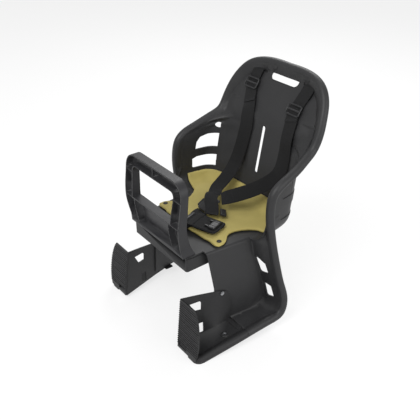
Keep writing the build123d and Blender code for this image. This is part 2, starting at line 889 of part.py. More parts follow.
with BuildPart() as tray_side:
    add(tray_side_face(-50))
    add(tray_side_face(-235))
    loft(ruled=True)
with BuildPart() as tray_side_outline:
    with BuildSketch(Plane.YZ.offset(100)):
        with BuildLine():
            Polyline(
                (tray_front_top_y, tray_top_z), (-150, -71), (-88, -82), (-62, -90), (-50, -104),
                (-45, -134), (-47, -165), (tray_edge_y, -179), (tray_edge_y, tray_floor_z(tray_edge_y) - tray_wall),
                (tray_front_low_y, tray_floor_front - tray_wall),
                (tray_front_top_y, tray_top_z),
            )
        make_face()
        with BuildLine():
            Polyline((-141, -92), (-136, -100), (-137, -122), (-157, -119), (-170, -92), (-141, -92))
        make_face(mode=Mode.SUBTRACT)
        with Locations((-141, -181)):
            RectangleRounded(17, 34, 3, mode=Mode.SUBTRACT)
    extrude(amount=80)

with BuildPart() as tray_floor:
    with BuildSketch(Plane.YZ.offset(100)):
        with BuildLine():
            Polyline(
                (tray_edge_y, tray_floor_z(tray_edge_y)),
                (tray_front_low_y, tray_floor_front),
                (tray_front_low_y, tray_floor_front - tray_wall),
                (tray_edge_y, tray_floor_z(tray_edge_y) - tray_wall),
                (tray_edge_y, tray_floor_z(tray_edge_y)),
            )
        make_face()
    extrude(amount=150)
with BuildPart() as tray_floor_outline:
    with BuildSketch(Plane.XY.offset(-240)):
        with BuildLine():
            Polyline(
                (tray_side_x(-50, -190) - 1.5, tray_edge_y), (200, tray_edge_y), (204, -53), (211, -53), (209, -120),
                (199, -203), (tray_side_x(-203, -205) - 1.5, -203), (tray_side_x(-50, -190) - 1.5, tray_edge_y),
            )
        make_face()
    extrude(amount=70)
with BuildPart() as tray_front:
    with BuildSketch(Plane.YZ.offset(100)):
        with BuildLine():
            Polyline(
                (tray_front_top_y, tray_top_z), (tray_front_low_y, tray_floor_front - tray_wall),
                (tray_front_low_y - tray_wall, tray_floor_front - tray_wall),
                (tray_front_top_y - tray_wall, tray_top_z), (tray_front_top_y, tray_top_z),
            )
        make_face()
    extrude(amount=150)
with BuildPart() as tray_front_outline:
    with BuildSketch(Plane.XZ.offset(150)):
        with BuildLine():
            Line((tray_inner_x, tray_top_z), (190, tray_top_z))
            Spline((190, tray_top_z), (203, -92), (213, -140), (213, -180), (206, tray_floor_front - tray_wall))
            Polyline(
                (206, tray_floor_front - tray_wall), (tray_inner_x + 4.4, tray_floor_front - tray_wall),
                (tray_inner_x, tray_top_z),
            )
        make_face()
        with Locations((151, -197)):
            Rectangle(34, 15, mode=Mode.SUBTRACT)
    extrude(amount=100)

tray_rib_count = 20
tray_rib_step = 6.5
with BuildPart() as tray_ribs:
    for index in range(tray_rib_count):
        rib_z = tray_top_z - 8 - index * tray_rib_step
        share = (tray_top_z - rib_z) / (tray_top_z - tray_floor_front)
        rib_y = tray_front_top_y - tray_wall + (tray_front_low_y - tray_front_top_y) * share
        with BuildSketch(Plane(origin=(170, rib_y, rib_z), z_dir=(0, -1, 0), x_dir=(1, 0, 0))):
            Rectangle(110, 2.5)
        extrude(amount=1.4)
        with BuildSketch(Plane(origin=(170, rib_y, rib_z), z_dir=(0, 1, 0), x_dir=(-1, 0, 0))):
            Rectangle(110, 2.5)
        extrude(amount=1.5)

with BuildPart() as tray_lip:
    for index in range(7):
        share = 0.004 + (seam_share - 0.010) * index / 6
        angle, leg = lip_values(share)
        add(lip_face(share, angle, leg))
    loft(ruled=True)

tray_head_r = 5.5
tray_head_h = 3.0

with BuildPart() as footrest_right:
    add(tray_side.part)
    add(tray_side_outline.part, mode=Mode.INTERSECT)
    add((tray_floor.part & tray_floor_outline.part) + (tray_front.part & tray_front_outline.part)
        + (tray_ribs.part & tray_front_outline.part))
    add(tray_lip.part)
    with BuildSketch(Plane(origin=side_bolt, z_dir=side_bolt_dir)):
        Circle(tray_bolt_r + screw_clear)
    extrude(amount=12, both=True, mode=Mode.SUBTRACT)
    with BuildSketch(Plane(origin=floor_bolt, z_dir=floor_up)):
        Circle(tray_bolt_r + screw_clear)
    extrude(amount=12, both=True, mode=Mode.SUBTRACT)

with BuildPart() as tray_side_bolt:
    with BuildSketch(Plane(origin=side_bolt + side_bolt_dir * tray_wall, z_dir=side_bolt_dir)):
        Circle(tray_head_r)
    extrude(amount=tray_head_h)
    with BuildSketch(Plane(origin=side_bolt + side_bolt_dir * tray_wall, z_dir=side_bolt_dir)):
        Circle(tray_bolt_r)
    extrude(amount=-(tray_wall + wall + 7))
    with BuildSketch(Plane(origin=side_bolt + side_bolt_dir * (tray_wall + tray_head_h), z_dir=side_bolt_dir)):
        RegularPolygon(2.0, 6, major_radius=False)
    extrude(amount=-2, mode=Mode.SUBTRACT)
with BuildPart() as tray_side_nut:
    with BuildSketch(Plane(origin=side_bolt - side_bolt_dir * wall, z_dir=side_bolt_dir)):
        RegularPolygon(5, 6, major_radius=False)
        Circle(tray_bolt_r + 0.05, mode=Mode.SUBTRACT)
    extrude(amount=-5)
with BuildPart() as tray_floor_bolt:
    with BuildSketch(Plane(origin=floor_bolt, z_dir=floor_up)):
        Circle(tray_head_r)
    extrude(amount=tray_head_h)
    with BuildSketch(Plane(origin=floor_bolt, z_dir=floor_up)):
        Circle(tray_bolt_r)
    extrude(amount=-(tray_wall + wall + 7))
    with BuildSketch(Plane(origin=floor_bolt + floor_up * tray_head_h, z_dir=floor_up)):
        RegularPolygon(2.0, 6, major_radius=False)
    extrude(amount=-2, mode=Mode.SUBTRACT)
with BuildPart() as tray_floor_nut:
    with BuildSketch(Plane(origin=floor_bolt - floor_up * (tray_wall + wall), z_dir=floor_up)):
        RegularPolygon(5, 6, major_radius=False)
        Circle(tray_bolt_r + 0.05, mode=Mode.SUBTRACT)
    extrude(amount=-5)

for label, piece in (
    ("footrest", footrest_right), ("footrest_side_bolt", tray_side_bolt), ("footrest_side_nut", tray_side_nut),
    ("footrest_floor_bolt", tray_floor_bolt), ("footrest_floor_nut", tray_floor_nut),
):
    piece.part.label = f"{label}_right"
    export_step(piece.part, f"parts/{label}_right.step")
    mirrored = piece.part.mirror(Plane.YZ)
    mirrored.label = f"{label}_left"
    export_step(mirrored, f"parts/{label}_left.step")

# Seat cushion: flat pad on the pan with two front ears, curled up the bowl at the sides and back
pad_gap = 0.4
pad_thick = 8.0
pad_turn = 80
pad_ear_hole_r = 4.0
pad_ear = (120.0, -64.0)
pad_outline = [
    (0, -90), (77, -86), (100, -82), (122, -84), (134, -77), (136, -66), (130, -50), (122, -40), (108, -24),
    (106, -6), (112, 14), (125, 36), (139, 50), (190, 58), (190, 175), (0, 190),
]


def pad_loft(gap):
    """Bowl space moved inward by a gap, up to the curled edge of the pad."""
    radius = bowl_inner_r - gap
    with BuildPart() as space:
        for turn in (0, 12, 27, 45, 62, pad_turn):
            rise = radius * (1 - cos(radians(turn)))
            add(bowl_face(pan_top + gap + rise, gap + radius * (1 - sin(radians(turn))), 0, back_corner))
        loft()
    return space.part


pad_split_y = -20.0
with BuildPart() as pad_front:
    with BuildSketch(Plane.XY.offset(pan_top + pad_gap)):
        with BuildLine():
            Polyline(*pad_outline[:9], (107.5, pad_split_y), (0, pad_split_y), pad_outline[0])
        make_face()
        with Locations(pad_ear):
            Circle(pad_ear_hole_r, mode=Mode.SUBTRACT)
    extrude(amount=pad_thick)
with BuildPart() as pad_prism:
    with BuildSketch(Plane.XY.offset(pan_top)):
        with BuildLine():
            Polyline((0, pad_split_y), (107.5, pad_split_y), *pad_outline[9:], (0, pad_split_y))
        make_face()
    extrude(amount=60)
with BuildPart() as cushion_half:
    add(pad_loft(pad_gap))
    add(pad_loft(pad_gap + pad_thick), mode=Mode.SUBTRACT)
    add(pad_prism.part, mode=Mode.INTERSECT)
    add(pad_front.part)
with BuildPart() as cushion:
    add(cushion_half.part)
    mirror(about=Plane.YZ)
cushion.part.label = "cushion"
export_step(cushion.part, "parts/cushion.step")

# Harness: webbing ribbons given by points and normals
webbing_w = 38.0
webbing_t = 2.0


def head_point(x, h, t):
    """Point near the headrest: side, height along the plate, distance in front of it."""
    return Vector(x, neck_y, neck_z) + head_plane.y_dir * h + head_plane.z_dir * t


def ribbon(points, normals, width, thick):
    """Flat band that follows points, each with the direction its face looks."""
    with BuildPart() as band:
        for index, point in enumerate(points):
            before = points[max(index - 1, 0)]
            after = points[min(index + 1, len(points) - 1)]
            along = (after - before).normalized()
            normal = Vector(*normals[index])
            normal = (normal - along * normal.dot(along)).normalized()
            with BuildSketch(Plane(origin=point, x_dir=along.cross(normal), z_dir=along)):
                Rectangle(width, thick)
        loft(ruled=True)
    return band.part


head_normal = (0, -0.835, 0.551)
back_normal = (0, -0.983, 0.185)
left_points = [
    head_point(-98, 122, -3.9), head_point(-98, 122, 1), head_point(-98, 120, 5), head_point(-98, 114, 6.4),
    head_point(-98, 100, 5.6), head_point(-98, 76, 3.8), head_point(-83, 40, 3.8), head_point(-69, 13, 7.0),
    Vector(-65, 181.5, 268), Vector(-63, 177, 243), Vector(-68, 168.5, 198), Vector(-73, 158, 158),
    Vector(-71, 138, 124), Vector(-60, 102, 101), Vector(-46, 62, 92), Vector(-34, 44, 88), Vector(-28, 34, 87),
]
head_up = (0, 0.551, 0.835)
left_normals = [
    head_up, head_up, (0, -0.2, 1), head_normal, head_normal, head_normal, head_normal, head_normal,
    back_normal, back_normal, back_normal, (0, -0.95, 0.3), (0, -0.75, 0.65), (0.1, -0.5, 0.85),
    (0.15, -0.4, 0.9), (0.2, -0.4, 0.9), (0.2, -0.4, 0.9),
]
right_points = [
    head_point(94, 122, -3.9), head_point(94, 122, 1), head_point(94, 120, 5), head_point(94, 114, 6.4),
    head_point(92, 100, 5.6), head_point(88, 85, 3.8), head_point(82, 50, 3.8), head_point(85, 35, 4.1),
    head_point(92, 16, 7.5),
    Vector(97, 177, 254), Vector(100, 171, 217), Vector(102, 162, 178), Vector(100, 149, 156),
    Vector(86, 122, 137), Vector(60, 86, 119), Vector(36, 60, 105), Vector(18, 46, 95), Vector(6, 35, 88.5),
]
right_normals = [
    head_up, head_up, (0, -0.2, 1), head_normal, head_normal, head_normal, head_normal, head_normal,
    head_normal, back_normal, back_normal, (0, -0.95, 0.3), (-0.3, -0.8, 0.5), (-0.6, -0.3, 0.6), (-0.7, 0.3, 0.5),
    (-0.65, 0.2, 0.6), (-0.4, -0.15, 0.8), (-0.1, -0.5, 0.86),
]

for side, points, normals in (("left", left_points, left_normals), ("right", right_points, right_normals)):
    strap = ribbon(points, normals, webbing_w, webbing_t)
    strap.label = f"shoulder_strap_{side}"
    export_step(strap, f"parts/shoulder_strap_{side}.step")

# Slider frame on each shoulder strap, with the strap's doubled tail between them
slider_w = 48.0
slider_h = 28.0
slider_t = 3.0
slider_bar = 4.0
slider_rise = 7.2
left_tail = [
    head_point(-98, 77, 6.0), head_point(-97, 74, 6.0), head_point(-83, 40, 6.0), head_point(-75.5, 25.5, 7.6),
]
right_tail = [
    head_point(83.4, 58, 6.0), head_point(82, 50, 6.0), head_point(85, 35, 6.2), head_point(90, 19, 9.4),
]
for side, tail_points, centre in (
    ("left", left_tail, head_point(-98, 76, slider_rise)), ("right", right_tail, head_point(82, 50, slider_rise)),
):
    with BuildPart() as slider:
        with BuildSketch(Plane(origin=centre, x_dir=head_plane.x_dir, z_dir=head_plane.z_dir)):
            RectangleRounded(slider_w, slider_h, 3)
            for row in (1, -1):
                with Locations((0, row * (slider_h / 4 - slider_bar / 8))):
                    Rectangle(slider_w - 2 * slider_bar, slider_h / 2 - 1.5 * slider_bar, mode=Mode.SUBTRACT)
        extrude(amount=slider_t)
    slider.part.label = f"strap_slider_{side}"
    export_step(slider.part, f"parts/strap_slider_{side}.step")
    tail = ribbon(tail_points, [head_normal] * len(tail_points), webbing_w, webbing_t)
    tail.label = f"strap_tail_{side}"
    export_step(tail, f"parts/strap_tail_{side}.step")


def slab(centre, x_dir, normal, width, height, thick, corner):
    """Rounded block given by its centre, side direction and the direction its face looks."""
    with BuildPart() as block:
        with BuildSketch(Plane(origin=centre, x_dir=x_dir, z_dir=normal).offset(-thick / 2)):
            RectangleRounded(width, height, corner)
        extrude(amount=thick)
    return block.part


# Flat plates behind the headrest that hold the shoulder straps in their slots
anchor_w = 62.0
anchor_h = 20.0
anchor_t = 3.5
anchor_depth = wall + 0.4 + anchor_t / 2
head_dir = (-head_plane.z_dir.X, -head_plane.z_dir.Y, -head_plane.z_dir.Z)

# Crotch strap that lies askew over the pad, with its wide pad and adjuster
webbing_gap = 0.3
crotch_w = 44.0
crotch_t = 2.4
crotch_points = [
    Vector(0, -101.8, 46.5), Vector(0, -93, 54.4), Vector(2, -80, 55.2), Vector(2, -55, 55.6),
    Vector(-10, -32, 56.4), Vector(-14, -22, 57), Vector(-14, -15, 57.4),
]
crotch_normals = [(0, -0.6, 0.8), (0, -0.2, 1), (0, 0, 1), (0, 0, 1), (0, 0, 1), (0, 0, 1), (0, 0, 1)]
pad_side = (0.95, 0.3, 0)
pad_up = (-0.3, 0.95, 0)
crotch_pad_w = 100.0
crotch_pad_h = 64.0
crotch_pad_t = 7.0
crotch_pad_at = Vector(44, -50, 62.4)
adjuster_w = 10.0
adjuster_at = crotch_pad_at - Vector(*pad_side) * (crotch_pad_w / 2 + adjuster_w / 2 + webbing_gap)

# Buckle that joins the crotch strap to the shoulder straps
buckle_at = Vector(-14, 2, 69)
buckle_up = Vector(0, 0.866, 0.5)
buckle_face = (0, -0.5, 0.866)
buckle_w = 46.0
buckle_h = 38.0
buckle_t = 14.0
tongue_w = 20.0
tongue_h = 12.0
lever_t = 6.0
tongue_at = buckle_at + buckle_up * (buckle_h / 2 + tongue_h / 2 + webbing_gap)
tongue_side = Vector(13, 0, 0)
lever_side = Vector(buckle_w / 2 + lever_t / 2 + webbing_gap, 0, 0)
lever_dir = (0, 0.866, 0.5)
pieces = {
    "strap_anchor_left": slab(
        head_point(-98, 122, -anchor_depth), (1, 0, 0), head_dir, anchor_w, anchor_h, anchor_t, 4
    ),
    "strap_anchor_right": slab(
        head_point(94, 122, -anchor_depth), (1, 0, 0), head_dir, anchor_w, anchor_h, anchor_t, 4
    ),
    "crotch_strap": ribbon(crotch_points, crotch_normals, crotch_w, crotch_t),
    "crotch_anchor": slab(Vector(0, -108, 46.0), (1, 0, 0), (0, 0, 1), 54, 10, 4.0, 2),
    "crotch_pad": slab(crotch_pad_at, pad_side, (0, 0, 1), crotch_pad_w, crotch_pad_h, crotch_pad_t, 12),
    "crotch_adjuster": slab(adjuster_at, pad_up, (0, 0, 1), 54, adjuster_w, 5, 2),
    "buckle_body": slab(buckle_at, (1, 0, 0), buckle_face, buckle_w, buckle_h, buckle_t, 6),
    "buckle_tongue_left": slab(tongue_at - tongue_side, (1, 0, 0), buckle_face, tongue_w, tongue_h, 5, 2),
    "buckle_tongue_right": slab(tongue_at + tongue_side, (1, 0, 0), buckle_face, tongue_w, tongue_h, 5, 2),
    "buckle_lever_left": slab(buckle_at - lever_side, lever_dir, (1, 0, 0), 26, 9, lever_t, 2),
    "buckle_lever_right": slab(buckle_at + lever_side, lever_dir, (1, 0, 0), 26, 9, lever_t, 2),
}
for label, piece in pieces.items():
    piece.label = label
    export_step(piece, f"parts/{label}.step")
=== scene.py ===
"""Looks of a child bike seat: finishes, soft pad, webbing, buckle, light and camera.

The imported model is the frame. Lengths are metres, -Y is the seat's front, +Z is up, and
+X is on the right when the seat is seen from the front.
"""
import json
import logging
import math
from dataclasses import dataclass, field
from enum import Enum
from typing import Any, Sequence

import bmesh
import bpy
import numpy as np
from mathutils import Matrix, Vector
from mathutils.bvhtree import BVHTree

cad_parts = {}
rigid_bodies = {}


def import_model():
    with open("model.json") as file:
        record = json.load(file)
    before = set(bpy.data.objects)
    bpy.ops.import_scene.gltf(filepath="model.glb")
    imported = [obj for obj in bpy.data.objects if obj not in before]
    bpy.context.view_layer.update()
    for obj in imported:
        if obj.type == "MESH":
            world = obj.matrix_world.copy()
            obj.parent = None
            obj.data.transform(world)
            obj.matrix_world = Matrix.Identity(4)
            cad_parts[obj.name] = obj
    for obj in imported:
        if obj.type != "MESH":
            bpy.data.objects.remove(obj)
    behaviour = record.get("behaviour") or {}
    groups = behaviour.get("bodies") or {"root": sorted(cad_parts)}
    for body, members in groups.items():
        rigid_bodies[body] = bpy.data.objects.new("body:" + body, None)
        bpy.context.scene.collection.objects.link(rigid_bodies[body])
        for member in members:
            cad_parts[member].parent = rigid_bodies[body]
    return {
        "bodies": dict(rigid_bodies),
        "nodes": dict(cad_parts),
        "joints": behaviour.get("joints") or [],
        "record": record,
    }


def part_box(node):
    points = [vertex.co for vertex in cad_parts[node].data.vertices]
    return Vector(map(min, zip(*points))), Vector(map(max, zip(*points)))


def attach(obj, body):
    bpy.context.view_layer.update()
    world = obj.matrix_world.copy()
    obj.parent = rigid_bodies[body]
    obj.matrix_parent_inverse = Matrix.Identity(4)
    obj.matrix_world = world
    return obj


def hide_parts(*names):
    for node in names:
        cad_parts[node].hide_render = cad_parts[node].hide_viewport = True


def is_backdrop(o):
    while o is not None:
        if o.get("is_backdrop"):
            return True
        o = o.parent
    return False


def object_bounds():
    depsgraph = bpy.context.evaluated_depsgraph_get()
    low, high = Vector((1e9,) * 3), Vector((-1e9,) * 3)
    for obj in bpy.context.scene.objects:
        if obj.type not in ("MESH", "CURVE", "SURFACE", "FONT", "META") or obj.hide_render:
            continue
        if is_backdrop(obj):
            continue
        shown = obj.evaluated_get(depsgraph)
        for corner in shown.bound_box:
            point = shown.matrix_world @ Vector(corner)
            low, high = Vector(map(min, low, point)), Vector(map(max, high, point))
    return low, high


log = logging.getLogger("bike_seat")

MM = 0.001
BODY = "root"

# Plane of the headrest, with the values of the moulded shell
NECK_Y = 190 * MM
NECK_Z = 279 * MM
HEAD_LEAN = math.radians(33.4)


class Slot(Enum):
    """Material slots of the record."""

    SHELL = "shell"
    BASE = "base"
    GRIP = "grip"
    TRAY = "tray"
    CUSHION = "cushion"
    WEBBING = "webbing"
    BUCKLE = "buckle"
    SCREWS = "screws"


class Side(Enum):
    """Side of the seat and its sign along X."""

    LEFT = -1
    RIGHT = 1

    @property
    def label(self) -> str:
        """Word used in node names."""
        return self.name.lower()


def linear(code: str) -> tuple[float, float, float, float]:
    """Turn an sRGB hex colour into linear RGBA.

    Args:
        code: colour such as "#8a7f49".

    Returns:
        Four linear values with an alpha of 1.
    """
    parts = [int(code[k:k + 2], 16) / 255 for k in (1, 3, 5)]
    low = [p / 12.92 if p <= 0.04045 else ((p + 0.055) / 1.055) ** 2.4 for p in parts]
    return (*low, 1.0)


def head_point(x: float, h: float, t: float) -> np.ndarray:
    """Give a point near the headrest.

    Args:
        x: side, in millimetres.
        h: height along the plate from the neck, in millimetres.
        t: distance in front of the plate, in millimetres.

    Returns:
        The point (x, y, z) in metres, neck + h * up + t * forward.
    """
    up = np.array([0.0, math.sin(HEAD_LEAN), math.cos(HEAD_LEAN)])
    forward = np.array([0.0, -math.cos(HEAD_LEAN), math.sin(HEAD_LEAN)])
    return np.array([x * MM, NECK_Y, NECK_Z]) + up * h * MM + forward * t * MM


def unit(vectors: np.ndarray) -> np.ndarray:
    """Scale vectors to a length of one along the last axis."""
    return vectors / np.maximum(np.linalg.norm(vectors, axis=-1, keepdims=True), 1e-12)


@dataclass
class Surface:
    """Mesh arrays of one piece before it becomes a Blender object."""

    points: np.ndarray
    faces: list[tuple[int, ...]]
    uv: np.ndarray | None = None

    def joined(self, other: "Surface") -> "Surface":
        """Put two surfaces into one, without uv.

        Args:
            other: the surface whose faces follow this one's.

        Returns:
            The two as one surface.
        """
        shift = len(self.points)
        moved = [tuple(i + shift for i in face) for face in other.faces]
        return Surface(np.vstack([self.points, other.points]), self.faces + moved)


def grid_faces(
    rows: int, columns: int, closed_rows: bool, closed_columns: bool
) -> list[tuple[int, ...]]:
    """List the quads of a grid of points.

    Args:
        rows: points along the first direction.
        columns: points along the second direction.
        closed_rows: whether the last row meets the first.
        closed_columns: whether the last column meets the first.

    Returns:
        Faces as index tuples, with index = row * columns + column.
    """
    row = np.arange(rows if closed_rows else rows - 1)[:, None]
    column = np.arange(columns if closed_columns else columns - 1)[None, :]
    next_row, next_column = (row + 1) % rows, (column + 1) % columns
    corners = (
        row * columns + column, row * columns + next_column,
        next_row * columns + next_column, next_row * columns + column,
    )
    quads = np.stack(np.broadcast_arrays(*corners), axis=-1).reshape(-1, 4)
    return [tuple(quad) for quad in quads.tolist()]


def smooth_path(points: Sequence[Sequence[float]], count: int, closed: bool = False) -> np.ndarray:
    """Sample a Catmull-Rom curve through points.

    Between p1 and p2 at f it is
    0.5 * (2 p1 + (p2 - p0) f + (2 p0 - 5 p1 + 4 p2 - p3) f^2 + (3 p1 - p0 - 3 p2 + p3) f^3).

    Args:
        points: the points that the curve passes.
        count: samples on each span.
        closed: whether the curve returns to its start.

    Returns:
        Array of samples.
    """
    base = np.asarray(points, float)
    if closed:
        padded = np.vstack([base[-1], base, base[0], base[1]])
    else:
        padded = np.vstack([2 * base[0] - base[1], base, 2 * base[-1] - base[-2]])
    p0, p1, p2, p3 = padded[:-3], padded[1:-2], padded[2:-1], padded[3:]
    f = (np.arange(count) / count)[None, :, None]
    p0, p1, p2, p3 = (p[:, None, :] for p in (p0, p1, p2, p3))
    curve = 0.5 * (
        2 * p1 + (p2 - p0) * f
        + (2 * p0 - 5 * p1 + 4 * p2 - p3) * f ** 2
        + (3 * p1 - p0 - 3 * p2 + p3) * f ** 3
    )
    curve = curve.reshape(-1, base.shape[1])
    return curve if closed else np.vstack([curve, base[-1]])


def sweep(path: np.ndarray, normals: np.ndarray, profile: np.ndarray, closed: bool = False) -> Surface:
    """Carry a closed profile along a path.

    A point is path + side * u + normal * v, with side = along x normal.

    Args:
        path: points of the route.
        normals: direction of the profile's v at each point.
        profile: closed outline as (u, v) pairs, in metres.
        closed: whether the path is a ring.

    Returns:
        Surface with uv in metres along and round the band.
    """
    if closed:
        along = np.roll(path, -1, axis=0) - np.roll(path, 1, axis=0)
    else:
        along = np.gradient(path, axis=0)
    along = unit(along)
    normal = unit(normals - along * np.sum(normals * along, axis=1, keepdims=True))
    side = np.cross(along, normal)
    rows, columns = len(path), len(profile)
    across, raised = profile[None, :, :1], profile[None, :, 1:]
    points = path[:, None] + side[:, None] * across + normal[:, None] * raised
    faces = grid_faces(rows, columns, closed, True)
    run = np.concatenate([[0], np.cumsum(np.linalg.norm(np.diff(path, axis=0), axis=1))])
    uv = np.stack([np.repeat(run, columns), np.tile(profile[:, 0], rows)], axis=1)
    if not closed:
        faces.append(tuple(reversed(range(columns))))
        faces.append(tuple((rows - 1) * columns + j for j in range(columns)))
    return Surface(points.reshape(-1, 3), faces, uv)


def rounded_block(half: Sequence[float], round_plan: float, round_side: float, steps: int = 28) -> Surface:
    """Make a superellipsoid block about the origin.

    x = a c(p, s) c(q, r), y = b c(p, s) s(q, r), z = d s(p, s), where c(w, e) is cos(w) and
    s(w, e) is sin(w), each to the power e with its sign kept.

    Args:
        half: half sizes along x, y and z.
        round_plan: power in plan, 1 for an ellipse and near 0 for a rectangle.
        round_side: power in side view.
        steps: points from pole to pole.

    Returns:
        Closed surface.
    """
    def power(values: np.ndarray, exponent: float) -> np.ndarray:
        """Raise values to a power and keep their signs."""
        return np.sign(values) * np.abs(values) ** exponent

    p = np.linspace(-math.pi / 2, math.pi / 2, steps)[1:-1][:, None]
    q = (np.arange(steps * 2) / (steps * 2) * 2 * math.pi)[None, :]
    x = half[0] * power(np.cos(p), round_side) * power(np.cos(q), round_plan)
    y = half[1] * power(np.cos(p), round_side) * power(np.sin(q), round_plan)
    z = half[2] * power(np.sin(p), round_side) * np.ones_like(q)
    rows, columns = x.shape
    points = np.stack([x, y, z], axis=-1).reshape(-1, 3)
    faces = grid_faces(rows, columns, False, True)
    poles = np.array([[0, 0, -half[2]], [0, 0, half[2]]])
    count, last_row = len(points), (rows - 1) * columns
    for j in range(columns):
        after = (j + 1) % columns
        faces.append((count, after, j))
        faces.append((count + 1, last_row + j, last_row + after))
    return Surface(np.vstack([points, poles]), faces)


def placed(
    surface: Surface, centre: Sequence[float], x_dir: Sequence[float], normal: Sequence[float]
) -> Surface:
    """Move a surface from the origin to its place.

    Args:
        surface: what is moved.
        centre: where its origin goes.
        x_dir: direction of its x, which is squared to the normal.
        normal: direction of its z.

    Returns:
        The surface at its place, with the same faces and uv.
    """
    z_axis = unit(np.asarray(normal, float))
    x_axis = np.asarray(x_dir, float)
    x_axis = unit(x_axis - z_axis * np.dot(x_axis, z_axis))
    y_axis = np.cross(z_axis, x_axis)
    turned = surface.points @ np.stack([x_axis, y_axis, z_axis])
    return Surface(turned + np.asarray(centre, float), surface.faces, surface.uv)


def oval_profile(width: float, height: float, count: int = 12, power: float = 0.5) -> np.ndarray:
    """Give a closed superellipse outline, u = w / 2 cos(q) and v = h / 2 sin(q) to a power.

    Args:
        width: size along u.
        height: size along v.
        count: points round the outline.
        power: exponent of sine and cosine, 1 for an ellipse and 0.5 for a rounded bar.

    Returns:
        The (u, v) pairs.
    """
    angle = np.arange(count) / count * 2 * math.pi
    u = np.sign(np.cos(angle)) * np.abs(np.cos(angle)) ** power * width / 2
    v = np.sign(np.sin(angle)) * np.abs(np.sin(angle)) ** power * height / 2
    return np.stack([u, v], axis=1)


def rounded_loop(width: float, height: float, radius: float, per_corner: int = 6) -> np.ndarray:
    """Give the centre line of a rounded rectangle, with corner circles of angle q about their centres.

    Args:
        width: size along x.
        height: size along y.
        radius: radius of the corners.
        per_corner: steps round each corner.

    Returns:
        The (x, y) points.
    """
    share = np.linspace(0, 1, per_corner + 1)
    angle = math.pi / 2 * (np.arange(4)[:, None] + share[None, :])
    signs = np.array([(1, 1), (-1, 1), (-1, -1), (1, -1)])
    x = signs[:, :1] * (width / 2 - radius) + radius * np.cos(angle)
    y = signs[:, 1:] * (height / 2 - radius) + radius * np.sin(angle)
    return np.stack([x.ravel(), y.ravel()], axis=1)


def flat_ring(
    size: tuple[float, float], radius: float, profile: np.ndarray, level: float = 0.0, per_corner: int = 6
) -> Surface:
    """Sweep a profile round a rounded rectangle that lies in a plane of constant z.

    Args:
        size: width and height of the rectangle.
        radius: radius of its corners.
        profile: closed outline of the bar.
        level: the plane's z.
        per_corner: steps round each corner.

    Returns:
        The closed ring.
    """
    loop = rounded_loop(*size, radius, per_corner)
    loop = np.column_stack([loop, np.full(len(loop), level)])
    return sweep(loop, np.tile([0.0, 0.0, 1.0], (len(loop), 1)), profile, closed=True)


def with_ribs(
    body: Surface, half: Sequence[float], pitch: float, each_side: int, height: float,
    round_plan: float = 0.5, steps: int = 8,
) -> Surface:
    """Add a row of small blocks along x, at k * pitch for whole k.

    Args:
        body: the surface that carries them.
        half: half sizes of a block.
        pitch: distance from block to block.
        each_side: blocks on each side of the middle one.
        height: z of their centres.
        round_plan: a block's power in plan.
        steps: points of a block from pole to pole.

    Returns:
        Body and blocks as one surface.
    """
    for k in range(-each_side, each_side + 1):
        rib = rounded_block(half, round_plan, 0.8, steps)
        rib.points += np.array([k * pitch, 0, height])
        body = body.joined(rib)
    return body


def turned_cap(radius: Sequence[float], height: Sequence[float], count: int) -> Surface:
    """Turn a profile about z, a point being (r cos q, r sin q, h).

    Args:
        radius: distances from the axis, in metres.
        height: their heights.
        count: points round the axis.

    Returns:
        The cap, open underneath.
    """
    angle = (np.arange(count) / count * 2 * math.pi)[None, :]
    r, h = np.asarray(radius)[:, None], np.asarray(height)[:, None]
    points = np.stack([r * np.cos(angle), r * np.sin(angle), h * np.ones_like(angle)], axis=-1)
    return Surface(points.reshape(-1, 3), grid_faces(len(radius), count, False, True))


class NodeMaker:
    """Material under construction, with one way to add nodes."""

    def __init__(self, name: str) -> None:
        """Start a material that has only its shader and output.

        Args:
            name: the finish's name.
        """
        self.material = bpy.data.materials.new(name)
        self.material.use_nodes = True
        self.tree = self.material.node_tree
        self.shader = self.tree.nodes["Principled BSDF"]

    def add(self, kind: str, inputs: dict[Any, Any] | None = None, **settings: Any) -> bpy.types.Node:
        """Add a node, set its properties and feed its inputs.

        Args:
            kind: Blender's node type.
            inputs: socket name or number with a constant or another node's output.
            settings: properties of the node.

        Returns:
            The node.
        """
        node = self.tree.nodes.new(kind)
        for key, value in settings.items():
            setattr(node, key, value)
        self.feed(node, inputs or {})
        return node

    def feed(self, node: bpy.types.Node, inputs: dict[Any, Any]) -> None:
        """Set or link the inputs of a node.

        Args:
            node: the node.
            inputs: socket name or number with a constant or another node's output.
        """
        for key, value in inputs.items():
            if isinstance(value, bpy.types.NodeSocket):
                self.tree.links.new(value, node.inputs[key])
            else:
                node.inputs[key].default_value = value

    def object_space(self) -> bpy.types.NodeSocket:
        """Coordinates in metres on the object."""
        return self.add("ShaderNodeTexCoord").outputs["Object"]

    def noise(self, where: bpy.types.NodeSocket, size: float, detail: float = 2.0) -> bpy.types.NodeSocket:
        """Add noise.

        Args:
            where: coordinates in metres.
            size: size of its features, in metres.
            detail: octaves of finer noise.

        Returns:
            Its factor.
        """
        return self.add(
            "ShaderNodeTexNoise", {"Vector": where, "Scale": 1 / size, "Detail": detail}
        ).outputs["Fac"]

    def blend(self, factor: bpy.types.NodeSocket, low: str, high: str) -> bpy.types.NodeSocket:
        """Blend two colours.

        Args:
            factor: 0 for the first colour and 1 for the second.
            low: first sRGB hex colour.
            high: second one.

        Returns:
            The blended colour.
        """
        node = self.add("ShaderNodeMix", data_type="RGBA")
        self.feed(node, {0: factor, 6: linear(low), 7: linear(high)})
        return node.outputs[2]

    def range(self, value: bpy.types.NodeSocket, low: float, high: float) -> bpy.types.NodeSocket:
        """Stretch a factor to a range."""
        limits = {"Value": value, "To Min": low, "To Max": high}
        return self.add("ShaderNodeMapRange", limits).outputs["Result"]


